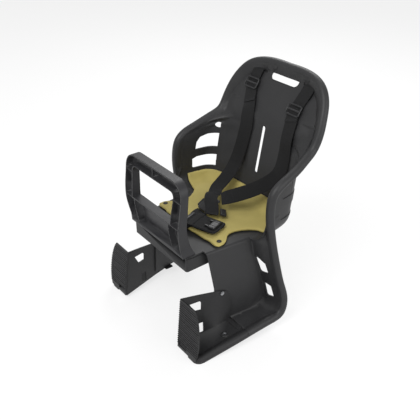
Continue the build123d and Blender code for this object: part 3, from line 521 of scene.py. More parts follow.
@dataclass(frozen=True)
class MouldedPlastic:
    """Spark-eroded black or grey polypropylene: soft highlight, leathery grain, rounded edges."""

    name: str
    colour: str
    worn: str
    roughness: float
    # The real grain is finer than half a millimetre, and is drawn coarser so that it shows
    grain: float = 0.9 * MM
    depth: float = 0.06 * MM
    edge: float = 0.8 * MM

    def build(self) -> bpy.types.Material:
        """Make the material.

        Returns:
            The Blender material.
        """
        maker = NodeMaker(self.name)
        where = maker.object_space()
        cloud = maker.noise(where, 45 * MM, 3.0)
        grain = maker.noise(where, self.grain, 3.0)
        soft_edge = maker.add("ShaderNodeBevel", {"Radius": self.edge}, samples=4)
        bump = maker.add("ShaderNodeBump", {
            "Strength": 0.6, "Distance": self.depth, "Height": grain, "Normal": soft_edge.outputs["Normal"],
        })
        maker.feed(maker.shader, {
            "Base Color": maker.blend(cloud, self.colour, self.worn),
            "Roughness": maker.range(cloud, self.roughness - 0.06, self.roughness + 0.06),
            "Normal": bump.outputs["Normal"],
            "Specular IOR Level": 0.3,
        })
        return maker.material


@dataclass(frozen=True)
class WovenWebbing:
    """Black polyester webbing: twill ribs across the band, dull with a slight sheen on the ribs."""

    name: str
    colour: str
    light: str
    # Real ribs are about 1 mm apart, drawn coarser so that they show in the render
    pitch: float = 1.8 * MM
    cross_share: float = 0.6

    def build(self) -> bpy.types.Material:
        """Make the material, whose pattern follows uv in metres.

        Returns:
            The Blender material.
        """
        maker = NodeMaker(self.name)
        uv = maker.add("ShaderNodeUVMap", uv_map="UVMap").outputs["UV"]
        # Length of one band of the wave texture at a scale of 1
        wave_period = 0.314
        ribs = maker.add(
            "ShaderNodeTexWave",
            {
                "Vector": uv, "Scale": wave_period / self.pitch,
                "Distortion": 0.6, "Detail": 1.0, "Detail Scale": 3.0,
            },
            bands_direction="DIAGONAL",
        ).outputs["Fac"]
        cross = maker.add(
            "ShaderNodeTexWave",
            {
                "Vector": uv, "Scale": wave_period / (self.pitch * self.cross_share),
                "Distortion": 0.3, "Detail": 1.0,
            },
            bands_direction="X",
        ).outputs["Fac"]
        both = maker.add("ShaderNodeMath", {0: ribs, 1: cross}, operation="MULTIPLY").outputs[0]
        bump = maker.add("ShaderNodeBump", {"Strength": 0.7, "Distance": 0.25 * MM, "Height": both})
        maker.feed(maker.shader, {
            "Base Color": maker.blend(both, self.colour, self.light),
            "Roughness": maker.range(both, 0.85, 0.62),
            "Normal": bump.outputs["Normal"],
            "Sheen Weight": 0.05,
            "Specular IOR Level": 0.3,
        })
        return maker.material


@dataclass(frozen=True)
class CoatedFoam:
    """Olive foam sheet with a pebbled coat: matt, uneven in tone, faint pits."""

    name: str
    colour: str
    shade: str
    pebble: float = 1.6 * MM
    pit: float = 0.5 * MM

    def build(self) -> bpy.types.Material:
        """Make the material.

        Returns:
            The Blender material.
        """
        maker = NodeMaker(self.name)
        where = maker.object_space()
        cloud = maker.noise(where, 30 * MM, 4.0)
        pebbles = {"Vector": where, "Scale": 1 / self.pebble}
        cells = maker.add("ShaderNodeTexVoronoi", pebbles).outputs["Distance"]
        fine = maker.noise(where, self.pit, 2.0)
        height = maker.add("ShaderNodeMath", {0: cells, 1: fine}, operation="ADD").outputs[0]
        bump = maker.add("ShaderNodeBump", {"Strength": 0.5, "Distance": 0.18 * MM, "Height": height})
        maker.feed(maker.shader, {
            "Base Color": maker.blend(cloud, self.colour, self.shade),
            "Roughness": maker.range(cells, 0.62, 0.8),
            "Normal": bump.outputs["Normal"],
            "Sheen Weight": 0.08,
            "Specular IOR Level": 0.32,
        })
        return maker.material


@dataclass(frozen=True)
class ZincSteel:
    """Zinc plated steel: fine turned scratches and a satin reflection."""

    name: str
    colour: str
    shade: str

    def build(self) -> bpy.types.Material:
        """Make the material.

        Returns:
            The Blender material.
        """
        maker = NodeMaker(self.name)
        where = maker.object_space()
        scratch = maker.noise(where, 0.25 * MM, 2.0)
        cloud = maker.noise(where, 4 * MM, 2.0)
        bump = maker.add("ShaderNodeBump", {"Strength": 0.3, "Distance": 0.03 * MM, "Height": scratch})
        maker.feed(maker.shader, {
            "Base Color": maker.blend(cloud, self.colour, self.shade),
            "Metallic": 1.0,
            "Roughness": maker.range(cloud, 0.28, 0.42),
            "Normal": bump.outputs["Normal"],
        })
        return maker.material


class Finishes:
    """All finishes of the seat, made once."""

    def __init__(self) -> None:
        """Build every material."""
        # Grained polypropylene of the shell: broad soft highlights on the rolled rim
        self.shell = MouldedPlastic("grained_polypropylene", "#282829", "#2f2f30", 0.46).build()
        # Finer grain and a darker tone under the seat
        self.base = MouldedPlastic("base_polypropylene", "#262627", "#2c2c2d", 0.5, 0.7 * MM).build()
        # Slightly bluer and smoother, as on the separate grip bar
        self.grip = MouldedPlastic("grip_polypropylene", "#262628", "#2c2c2e", 0.42, 0.8 * MM).build()
        # Darker and duller, as on the trays
        self.tray = MouldedPlastic("tray_polypropylene", "#232324", "#2a2a2b", 0.5, 0.8 * MM).build()
        # Smooth black acetal of buckles and sliders
        self.buckle = MouldedPlastic(
            "black_acetal", "#262627", "#2d2d2e", 0.3, 0.5 * MM, 0.02 * MM, 0.4 * MM
        ).build()
        # Woven polyester
        self.webbing = WovenWebbing("woven_polyester", "#0d0d0e", "#19191a").build()
        # Coated foam of the pad
        self.cushion = CoatedFoam("olive_coated_foam", "#b0a25e", "#a39657").build()
        # Thread of the seams, a little lighter than the webbing
        self.thread = WovenWebbing("black_thread", "#242426", "#3c3c3f", 0.5 * MM).build()
        # Screws, bolts and nuts
        self.steel = ZincSteel("zinc_plated_steel", "#a9aaad", "#8f9093").build()


def make_object(
    name: str, surface: Surface, material: bpy.types.Material, smooth_angle: float = 40.0
) -> bpy.types.Object:
    """Turn a surface into an object at the origin.

    Args:
        name: the piece's name.
        surface: points and faces, with uv if it has them.
        material: its finish.
        smooth_angle: edges that turn by more degrees stay sharp.

    Returns:
        The object, linked to the scene.
    """
    mesh = bpy.data.meshes.new(name)
    mesh.from_pydata(surface.points.tolist(), [], surface.faces)
    if surface.uv is not None:
        layer = mesh.uv_layers.new(name="UVMap")
        corner = np.empty(len(mesh.loops), np.int32)
        mesh.loops.foreach_get("vertex_index", corner)
        layer.data.foreach_set("uv", surface.uv[corner].astype(np.float32).ravel())
    mesh.materials.append(material)
    work = bmesh.new()
    work.from_mesh(mesh)
    bmesh.ops.recalc_face_normals(work, faces=work.faces)
    work.to_mesh(mesh)
    work.free()
    mesh.shade_smooth()
    mesh.set_sharp_from_angle(angle=math.radians(smooth_angle))
    piece = bpy.data.objects.new(name, mesh)
    bpy.context.scene.collection.objects.link(piece)
    return piece


def settle(piece: bpy.types.Object, slot: Slot, *nodes: str) -> bpy.types.Object:
    """Give a piece its body, hide the CAD nodes that it stands for, and log it with its slot.

    Args:
        piece: the finished object.
        slot: its material slot.
        nodes: CAD nodes that it replaces, if any.

    Returns:
        The piece.
    """
    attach(piece, BODY)
    if nodes:
        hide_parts(*nodes)
    log.info("%s: slot %s, %d vertices, for %s", piece.name, slot.value, len(piece.data.vertices), nodes)
    return piece


def spline_path(
    points: Sequence[Sequence[float]], first: Sequence[float], last: Sequence[float], count: int
) -> tuple[np.ndarray, np.ndarray, np.ndarray]:
    """Interpolate points by the cubic curve with a continuous second derivative.

    With knots t spaced by chord length and h their steps, the slopes m solve
    m0 / h0 + 2 (1 / h0 + 1 / h1) m1 + m2 / h1 = 3 ((p1 - p0) / h0^2 + (p2 - p1) / h1^2),
    and each span is the Hermite curve of its ends and slopes.

    Args:
        points: the points that the curve passes.
        first: direction at the start.
        last: direction at the end.
        count: samples over the whole length.

    Returns:
        Sampled points, their unit directions and their shares of the length.
    """
    p = np.asarray(points, float)
    t = np.concatenate([[0], np.cumsum(np.linalg.norm(np.diff(p, axis=0), axis=1))])
    h = np.diff(t)[:, None]
    system, right = np.eye(len(p)), np.zeros_like(p)
    right[0], right[-1] = unit(np.asarray(first, float)), unit(np.asarray(last, float))
    for i in range(1, len(p) - 1):
        system[i, i - 1:i + 2] = 1 / h[i - 1, 0], 2 / h[i - 1, 0] + 2 / h[i, 0], 1 / h[i, 0]
        right[i] = 3 * ((p[i] - p[i - 1]) / h[i - 1] ** 2 + (p[i + 1] - p[i]) / h[i] ** 2)
    m = np.linalg.solve(system, right)
    where = np.linspace(0, t[-1], count)
    i = np.clip(np.searchsorted(t, where, side="right") - 1, 0, len(p) - 2)
    f = ((where - t[i]) / h[i, 0])[:, None]
    curve = (
        (2 * f ** 3 - 3 * f ** 2 + 1) * p[i] + (f ** 3 - 2 * f ** 2 + f) * h[i] * m[i]
        + (3 * f ** 2 - 2 * f ** 3) * p[i + 1] + (f ** 3 - f ** 2) * h[i] * m[i + 1]
    )
    return curve, unit(np.gradient(curve, axis=0)), where / t[-1]


@dataclass
class RimCurve:
    """Centre line of the shell's rolled rim with its hooked section, in millimetres."""

    points: tuple[tuple[float, float, float], ...] = (
        (204, -190, -216), (218, -78, -198), (222, 30, -191), (224, 66, -181), (222, 79, -155),
        (214, 69, -83), (208, 57, -26), (204, 43, 44), (202, 33, 111), (200, 34, 160), (199, 43, 187),
        (199, 61, 202), (197, 92, 214), (193, 125, 226), (187, 156, 239), (182, 184, 254),
        (181, 201, 280), (173, 221, 325), (156, 241, 363), (133, 254, 386), (99, 264.5, 399),
        (0, 269.5, 405), (-99, 264.5, 399),
    )
    first_way: tuple[float, float, float] = (0.12, 1, 0.15)
    last_way: tuple[float, float, float] = (-1, -0.1, -0.2)
    samples: int = 1400
    radius: float = 12.0
    thick: float = 5.0
    end_angle: float = math.radians(-20)
    seam_y: float = -50.0
    edge_bulge: float = 1.2
    corner_radius: float = 8.0
    corner_run: float = 20.0
    corner_lift: float = 1.0

    def __post_init__(self) -> None:
        """Sample the curve and find the direction, the start angle and the leg of its section."""
        path, along, share = spline_path(self.points, self.first_way, self.last_way, self.samples)
        half = path[:, 0] >= -0.5
        self.path, self.along, self.share = path[half], along[half], share[half]
        self.outward, self.forward = self._directions()
        self.angle, self.leg = self._hooks()

    def _directions(self) -> tuple[np.ndarray, np.ndarray]:
        """Find how the section is turned, smoothly from the wing to the headrest.

        Returns:
            Unit directions to the outside and to the front at each sample.
        """
        side = np.tile([1.0, 0.0, 0.0], (len(self.path), 1))
        low = unit(side - self.along * np.sum(side * self.along, axis=1, keepdims=True))
        head = np.array([0.0, -math.cos(HEAD_LEAN), math.sin(HEAD_LEAN)])
        high = unit(np.cross(self.along, head))
        f = np.clip((self.path[:, 2:] - (NECK_Z / MM - 25)) / 40, 0, 1)
        f = f * f * (3 - 2 * f)
        outward = unit(low * (1 - f) + high * f)
        return outward, np.cross(outward, self.along)

    def _share_at(self, height: float) -> float:
        """Share of the length at which the rim passes a height on its way up the leg."""
        inside = (self.share > 0.2) & (self.path[:, 2] >= height)
        return float(self.share[np.argmax(inside)])

    def _hooks(self) -> tuple[np.ndarray, np.ndarray]:
        """Blend the hook's form between stations of share, start angle in degrees and leg length.

        Between two stations the share f is eased to f * f * (3 - 2 f).

        Returns:
            Start angle in radians and leg length at each sample.
        """
        crease = self._share_at(-170)
        stations = [
            (0.0, 110, 8), (crease * 0.8, 110, 8), (crease, 90, 8), (crease * 1.15, 75, 8),
            (self._share_at(44), 72, 8), (self._share_at(80), 118, 8), (self._share_at(111), 172, 8),
            (self._share_at(214), 172, 8), (self._share_at(254), 130, 12),
            (self._share_at(325), 125, 21), (1.0, 128, 21),
        ]
        shares, angles, legs = np.array(stations, float).T
        span = np.clip(np.searchsorted(shares, self.share) - 1, 0, len(shares) - 2)
        f = (self.share - shares[span]) / (shares[span + 1] - shares[span])
        f = f * f * (3 - 2 * f)
        angle = angles[span] + (angles[span + 1] - angles[span]) * f
        return np.radians(angle), legs[span] + (legs[span + 1] - legs[span]) * f

    def outlines(self, picked: np.ndarray) -> np.ndarray:
        """Give the closed outlines of the hook.

        The roll is r (cos a, sin a) from the start angle to the end angle at the outer radius, a
        flattened half circle round the lip's edge, and back at the inner radius. The leg runs back
        along the wall and sinks under its face.

        Args:
            picked: indices of the samples.

        Returns:
            Pairs (outward, forward), as (samples, columns, 2).
        """
        def ray(angle: np.ndarray) -> np.ndarray:
            """Unit pairs (cos, sin) of angles."""
            return np.stack([np.cos(angle), np.sin(angle)], axis=-1)

        a0, a1 = self.angle[picked][:, None], self.end_angle
        start, back = ray(a0), ray(a0 + math.pi / 2)
        outer, inner, middle = self.radius, self.radius - self.thick, self.radius - self.thick / 2
        leg = (self.leg[picked] + 4)[:, None, None]
        edge = np.linspace(0, -math.pi, 9)[1:-1][:, None]
        lip = (middle + self.thick / 2 * np.cos(edge)) * ray(a1)
        lip = lip + self.edge_bulge * np.sin(edge) * ray(a1 + math.pi / 2)
        return np.concatenate([
            start * (outer - 0.9) + back * leg,
            start * (outer - 0.25) + back * (leg - 4),
            start * outer + back * (leg - 9) * 0.5,
            outer * ray(a0 + (a1 - a0) * np.linspace(0, 1, 18)),
            np.broadcast_to(lip, (len(picked), *lip.shape)),
            inner * ray(a1 + (a0 - a1) * np.linspace(0, 1, 12)),
            start * (inner + 0.9) + back * leg,
        ], axis=1)

    def rows(self, low: float, high: float) -> np.ndarray:
        """Sweep the section between two shares, every third sample and the last.

        A point is path + outward * u + forward * v.

        Args:
            low: share where the sweep begins.
            high: share where it ends.

        Returns:
            Points in metres, as (rows, columns, 3).
        """
        inside = np.nonzero((self.share >= low) & (self.share <= high))[0]
        picked = np.append(inside[:-1:3], inside[-1])
        outline = self.outlines(picked)
        across = outline[..., :1] * self.outward[picked][:, None]
        ahead = outline[..., 1:] * self.forward[picked][:, None]
        return (self.path[picked][:, None] + across + ahead) * MM

    def corner_rows(self) -> np.ndarray:
        """Sweep the tray's rim from under the front wall round the corner to its start.

        With the corner's turn q from 90 to 0 degrees the centre is the start moved by
        (-r (1 - cos q), -r sin q, lift), and the section looks along (cos q, -sin q, 0).

        Returns:
            Points in metres, as (rows, columns, 3).
        """
        start = self.path[0] + np.array([0, 0, self.corner_lift])
        turn = np.linspace(math.pi / 2, 0, 14)[:-1]
        flat = np.zeros_like(turn)
        bends = start + self.corner_radius * np.stack([np.cos(turn) - 1, -np.sin(turn), flat], axis=1)
        runs = bends[0] - np.linspace(self.corner_run, 2, 6)[:, None] * np.array([1.0, 0, 0])
        centre = np.concatenate([runs, bends])
        look = np.concatenate([
            np.tile([0.0, -1.0, 0.0], (len(runs), 1)),
            np.stack([np.cos(turn), -np.sin(turn), flat], axis=1),
        ])
        outline = self.outlines(np.array([0]))
        raised = outline[..., 1:] * np.array([0, 0, 1.0])
        return (centre[:, None] + outline[..., :1] * look[:, None] + raised) * MM

    def seam(self) -> float:
        """Share at which the tray ends and the leg guard begins."""
        return float(self.share[np.argmax(self.path[:, 1] >= self.seam_y)])

    def on_hook(self, points: np.ndarray) -> np.ndarray:
        """Tell which points lie on the moulded hook.

        Args:
            points: places in metres, on either side.

        Returns:
            True for a point on the roll's outer or inner face or on its leg.
        """
        local = np.hstack([np.abs(points[:, :1]), points[:, 1:]]) / MM
        # Reach of the hook's inner and outer faces about the curve
        inner, outer = 6.4, 12.7
        found = np.zeros(len(points), bool)
        for first in range(0, len(points), 2000):
            block = local[first:first + 2000]
            gap = block[:, None] - self.path[None, ::2]
            near = np.argmin(np.sum(gap ** 2, axis=2), axis=1) * 2
            step = block - self.path[near]
            x = np.sum(step * self.outward[near], axis=1)
            y = np.sum(step * self.forward[near], axis=1)
            reach = np.hypot(x, y)
            turn = (np.arctan2(y, x) - self.end_angle + 0.12) % (2 * math.pi)
            a0 = self.angle[near]
            roll = (reach > inner) & (reach < outer) & (turn < a0 - self.end_angle + 0.3)
            across = x * np.cos(a0) + y * np.sin(a0)
            behind = -x * np.sin(a0) + y * np.cos(a0)
            leg = (across > inner) & (across < outer)
            leg &= (behind > -1) & (behind < self.leg[near] + 0.8)
            found[first:first + 2000] = roll | leg
        return found


@dataclass
class CadSkin:
    """Smooth-shaded copy of a rigid CAD node with its own finish."""

    node: str
    slot: Slot
    material: bpy.types.Material
    nodes: dict[str, bpy.types.Object]
    rim: RimCurve | None = None
    smooth_angle: float = 35.0

    def build(self) -> bpy.types.Object:
        """Copy the node, merge its loose triangles and shade it by angle.

        Returns:
            The dressed copy.
        """
        mesh = self.nodes[self.node].data.copy()
        work = bmesh.new()
        work.from_mesh(mesh)
        bmesh.ops.remove_doubles(work, verts=work.verts, dist=0.02 * MM)
        bmesh.ops.dissolve_degenerate(work, edges=work.edges, dist=0.01 * MM)
        if self.rim is not None:
            self._clear_rim(work)
        work.to_mesh(mesh)
        work.free()
        if mesh.has_custom_normals:
            mesh.normals_split_custom_set([(0.0, 0.0, 0.0)] * len(mesh.loops))
        mesh.shade_smooth()
        mesh.set_sharp_from_angle(angle=math.radians(self.smooth_angle))
        mesh.materials.clear()
        mesh.materials.append(self.material)
        piece = bpy.data.objects.new(f"{self.node}_skin", mesh)
        bpy.context.scene.collection.objects.link(piece)
        weighted = piece.modifiers.new("weighted_normals", "WEIGHTED_NORMAL")
        weighted.keep_sharp = True
        weighted.weight = 80
        return settle(piece, self.slot, self.node)

    def _clear_rim(self, work: bmesh.types.BMesh) -> None:
        """Take the faces that lie wholly on the moulded hook, which the smooth rim stands for.

        Args:
            work: the copy's mesh.
        """
        work.verts.ensure_lookup_table()
        work.verts.index_update()
        places = np.array([vertex.co[:] for vertex in work.verts])
        hooked = self.rim.on_hook(places)
        gone = [face for face in work.faces if all(hooked[vertex.index] for vertex in face.verts)]
        bmesh.ops.delete(work, geom=gone, context="FACES")


@dataclass
class RolledRim:
    """Smooth rim of shell and trays, drawn along the curve of the moulded one."""

    curve: RimCurve
    finishes: Finishes
    low: np.ndarray
    high: np.ndarray
    # Share of the curve's length that stays open between tray and leg guard
    tray_gap: float = 0.0006

    def build(self) -> None:
        """Sweep the shell's rim in one piece from seam to seam and each tray's rim to the seam."""
        seam = self.curve.seam()
        half = self.curve.rows(seam, 1.0)
        flip = np.array([-1.0, 1.0, 1.0])
        whole = np.concatenate([half, (half * flip)[::-1][1:]])
        self._piece("rolled_rim", whole, self.finishes.shell, Slot.SHELL)
        for side in Side:
            rows = np.concatenate([self.curve.corner_rows(), self.curve.rows(0.0, seam - self.tray_gap)])
            rows = rows * np.array([side.value, 1.0, 1.0])
            self._piece(f"tray_rim_{side.label}", rows, self.finishes.tray, Slot.TRAY)

    def _piece(self, name: str, rows: np.ndarray, material: bpy.types.Material, slot: Slot) -> None:
        """Make one swept piece with closed ends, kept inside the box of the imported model.

        Args:
            name: the piece's name.
            rows: its points, as (rows, columns, 3).
            material: its finish.
            slot: its material slot.
        """
        count, columns = rows.shape[:2]
        rows = np.clip(rows, self.low, self.high)
        faces = grid_faces(count, columns, False, True)
        faces.append(tuple(reversed(range(columns))))
        faces.append(tuple((count - 1) * columns + j for j in range(columns)))
        settle(make_object(name, Surface(rows.reshape(-1, 3), faces), material, 50), slot)


@dataclass
class WingLiner:
    """Sheet inside the right wing's wall that closes its windows, as the photograph shows that wing."""

    nodes: dict[str, bpy.types.Object]
    material: bpy.types.Material
    centre_x: float = 130 * MM
    centre_y: float = 105 * MM
    reach: float = 0.2
    least: float = 30 * MM
    depth: float = 1.4 * MM
    thick: float = 1.2 * MM

    def build(self) -> None:
        """Measure the wing's outer face about an upright axis and bridge the windows by height.

        At each turn about the axis the distance r is r0 + (r1 - r0) * f between the wall's places
        below and above a window, with f the share of the height, less the depth.
        """
        turns = np.radians(np.arange(-25, 82, 1.5))
        heights = np.arange(80 * MM, 202 * MM, 2 * MM)
        outer = self._distances(turns, heights)
        missing = np.isnan(outer)
        for i in range(len(turns)):
            known = ~missing[i]
            outer[i] = np.interp(heights, heights[known], outer[i, known])
        grown = missing.copy()
        for shift in (-2, -1, 1, 2):
            grown |= np.roll(missing, shift, axis=0) | np.roll(missing, shift, axis=1)
        radius = np.stack([outer - self.depth, outer - self.depth - self.thick], axis=-1)
        turn = turns[:, None, None]
        x = self.centre_x + radius * np.cos(turn)
        y = self.centre_y + radius * np.sin(turn)
        z = heights[None, :, None] * np.ones_like(radius)
        points = np.stack([x, y, z], axis=-1)[grown].reshape(-1, 3)
        number = np.full(grown.shape, -1)
        number[grown] = np.arange(np.count_nonzero(grown))
        corners = (number[:-1, :-1], number[1:, :-1], number[1:, 1:], number[:-1, 1:])
        quads = np.stack(corners, axis=-1).reshape(-1, 4)
        quads = quads[quads.min(axis=1) >= 0]
        faces = [tuple(quad) for quad in np.concatenate([2 * quads, 2 * quads[:, ::-1] + 1]).tolist()]
        liner = make_object("wing_liner_right", Surface(points, faces), self.material, 180)
        settle(liner, Slot.SHELL)

    def _distances(self, turns: np.ndarray, heights: np.ndarray) -> np.ndarray:
        """Cast level rays from outside to the axis.

        Args:
            turns: angles about the axis.
            heights: z of the rays.

        Returns:
            Distance of the wall from the axis, or nan where a ray meets none, as (turns, heights).
        """
        mesh = self.nodes["seat_shell"].data
        places = [vertex.co for vertex in mesh.vertices]
        shell = BVHTree.FromPolygons(places, [polygon.vertices[:] for polygon in mesh.polygons])
        outer = np.full((len(turns), len(heights)), np.nan)
        for i, turn in enumerate(turns):
            away = Vector((math.cos(turn), math.sin(turn), 0))
            for j, z in enumerate(heights):
                start = Vector((self.centre_x, self.centre_y, z)) + away * self.reach
                distance = shell.ray_cast(start, -away)[3]
                if distance is not None and distance < self.reach - self.least:
                    outer[i, j] = self.reach - distance
        return outer


@dataclass
class SeatPad:
    """Thin olive foam pad that swells a little between its edges."""

    nodes: dict[str, bpy.types.Object]
    finishes: Finishes
    voxel: float = 4 * MM
    pressure: float = 4.0
    cap: float = 5 * MM
    lift: float = 0.25
    frames: int = 20

    def build(self) -> bpy.types.Object:
        """Remesh the pad and inflate it with cloth pressure.

        Returns:
            The finished pad.
        """
        mesh = self.nodes["cushion"].data.copy()
        work = bmesh.new()
        work.from_mesh(mesh)
        bmesh.ops.remove_doubles(work, verts=work.verts, dist=0.05 * MM)
        work.to_mesh(mesh)
        work.free()
        mesh.materials.clear()
        mesh.materials.append(self.finishes.cushion)
        piece = bpy.data.objects.new("seat_pad", mesh)
        bpy.context.scene.collection.objects.link(piece)
        remesh = piece.modifiers.new("voxels", "REMESH")
        remesh.mode = "VOXEL"
        remesh.voxel_size = self.voxel
        self._apply(piece)
        smooth = piece.modifiers.new("smooth", "SMOOTH")
        smooth.factor = 0.5
        smooth.iterations = 3
        self._apply(piece)
        self._inflate(piece)
        rounding = piece.modifiers.new("rounding", "SUBSURF")
        rounding.levels = 1
        rounding.render_levels = 1
        self._apply(piece)
        piece.data.shade_smooth()
        return settle(piece, Slot.CUSHION, "cushion")

    def _inflate(self, piece: bpy.types.Object) -> None:
        """Run the cloth pass and write its limited result to the mesh.

        A point ends at rest + n * lift * clip(d . n, 0, cap), where d is its cloth movement and n
        its rest normal. Points that don't face up stay, so the underside keeps off the shell.

        Args:
            piece: the remeshed pad.
        """
        scene = bpy.context.scene
        rest = self._coordinates(piece.data)
        normals = np.empty(len(piece.data.vertices) * 3, np.float32)
        piece.data.vertices.foreach_get("normal", normals)
        normals = normals.reshape(-1, 3)
        cloth = piece.modifiers.new("cloth", "CLOTH")
        cloth.settings.use_pressure = True
        cloth.settings.uniform_pressure_force = self.pressure
        cloth.settings.effector_weights.gravity = 0.0
        cloth.settings.quality = 4
        cloth.point_cache.frame_start = 1
        cloth.point_cache.frame_end = self.frames
        for frame in range(1, self.frames + 1):
            scene.frame_set(frame)
        evaluated = piece.evaluated_get(bpy.context.evaluated_depsgraph_get())
        moved = self._coordinates(evaluated.data)
        piece.modifiers.clear()
        scene.frame_set(1)
        along = np.sum((moved - rest) * normals, axis=1)
        along = np.clip(along, 0.0, self.cap)
        along[normals[:, 2] < 0.2] = 0.0
        final = rest + normals * (along * self.lift)[:, None]
        piece.data.vertices.foreach_set("co", final.astype(np.float32).ravel())
        piece.data.update()

    @staticmethod
    def _coordinates(mesh: bpy.types.Mesh) -> np.ndarray:
        """Read all vertex places of a mesh.

        Args:
            mesh: the mesh.

        Returns:
            Places as (vertices, 3).
        """
        values = np.empty(len(mesh.vertices) * 3, np.float32)
        mesh.vertices.foreach_get("co", values)
        return values.reshape(-1, 3).astype(float)

    @staticmethod
    def _apply(piece: bpy.types.Object) -> None:
        """Replace the mesh by its modified form and drop the modifiers.

        Args:
            piece: the object.
        """
        graph = bpy.context.evaluated_depsgraph_get()
        result = bpy.data.meshes.new_from_object(piece.evaluated_get(graph))
        piece.modifiers.clear()
        piece.data = result


@dataclass
class Band:
    """Webbing band along a route, with rolled selvedges and sewn ends."""

    name: str
    nodes: tuple[str, ...]
    route: list[np.ndarray]
    faces: list[tuple[float, float, float]]
    width: float
    thick: float
    material: bpy.types.Material
    samples: int = 10
    stitch: float = 3.2 * MM
    path: np.ndarray = field(init=False)
    normals: np.ndarray = field(init=False)

    def profile(self) -> np.ndarray:
        """Give the band's cross-section, flat with slightly thicker edges.

        Half the thickness at u is t / 2 * (0.8 + 0.2 * (2u / w)^8), and it closes round the edge.

        Returns:
            Closed outline as (u, v) pairs.
        """
        u = np.linspace(-1, 1, 15)
        half = self.thick / 2 * (0.8 + 0.2 * u ** 8)
        half[[0, -1]] *= 0.45
        top = np.stack([u * self.width / 2, half], axis=1)
        low = np.stack([u[::-1] * self.width / 2, -half[::-1]], axis=1)
        return np.vstack([top, low])

    def build(self) -> bpy.types.Object:
        """Sweep the band.

        Returns:
            The band's object.
        """
        self.path = smooth_path(self.route, self.samples)
        self.normals = unit(smooth_path(self.faces, self.samples))
        piece = make_object(self.name, sweep(self.path, self.normals, self.profile()), self.material, 60)
        return settle(piece, Slot.WEBBING, *self.nodes)

    def stitches(self, thread: bpy.types.Material, start: float, end: float) -> bpy.types.Object:
        """Sew a box with a cross on the band between two shares of its length.

        Args:
            thread: the thread's finish.
            start: share where the box begins.
            end: share where it ends.

        Returns:
            The stitches as one piece.
        """
        inset = self.width / 2 - 4 * MM
        corners = [
            (start, -inset), (start, inset), (end, inset), (end, -inset),
            (start, -inset), (end, inset), (end, -inset), (start, inset),
        ]
        stitches = Surface(np.empty((0, 3)), [])
        for (s0, u0), (s1, u1) in zip(corners, corners[1:]):
            first, last = self._on_band(s0, u0), self._on_band(s1, u1)
            count = max(int(np.linalg.norm(last - first) / self.stitch), 1)
            for k in range(count):
                f = (k + 0.5) / count
                place = self._on_band(s0 + (s1 - s0) * f, u0 + (u1 - u0) * f)
                bead = rounded_block((1.1 * MM, 0.35 * MM, 0.3 * MM), 1.0, 1.0, 6)
                normal = self._normal_at(s0 + (s1 - s0) * f)
                stitches = stitches.joined(placed(bead, place, last - first, normal))
        stitches.uv = stitches.points[:, :2].copy()
        piece = make_object(f"{self.name}_stitches", stitches, thread, 180)
        return settle(piece, Slot.WEBBING)

    def _row(self, share: float) -> float:
        """Row of the path at a share of its length."""
        return min(max(share, 0.0), 1.0) * (len(self.path) - 1)

    def _normal_at(self, share: float) -> np.ndarray:
        """Find the direction out of the band's face.

        Args:
            share: share of the band's length.

        Returns:
            The direction between those of the two nearest rows.
        """
        row = self._row(share)
        low = min(int(row), len(self.path) - 2)
        return unit(self.normals[low] * (1 - row + low) + self.normals[low + 1] * (row - low))

    def _on_band(self, share: float, u: float) -> np.ndarray:
        """Find a point on the band's face.

        Args:
            share: share of the band's length.
            u: distance from the middle line.

        Returns:
            The point, just inside the face.
        """
        row = self._row(share)
        low = min(int(row), len(self.path) - 2)
        base = self.path[low] * (1 - row + low) + self.path[low + 1] * (row - low)
        along = unit(self.path[low + 1] - self.path[low])
        normal = self._normal_at(share)
        normal = unit(normal - along * np.dot(normal, along))
        side = np.cross(along, normal)
        return base + side * u + normal * (self.thick * 0.42)


# Directions out of and up the headrest, out of the backrest, and straight up
HEAD_FACE = (0.0, -0.835, 0.551)
HEAD_UP = (0.0, 0.551, 0.835)
BACK_FACE = (0.0, -0.983, 0.185)
UP = (0.0, 0.0, 1.0)


def at(x: float, y: float, z: float) -> np.ndarray:
    """Point given in millimetres."""
    return np.array([x, y, z]) * MM


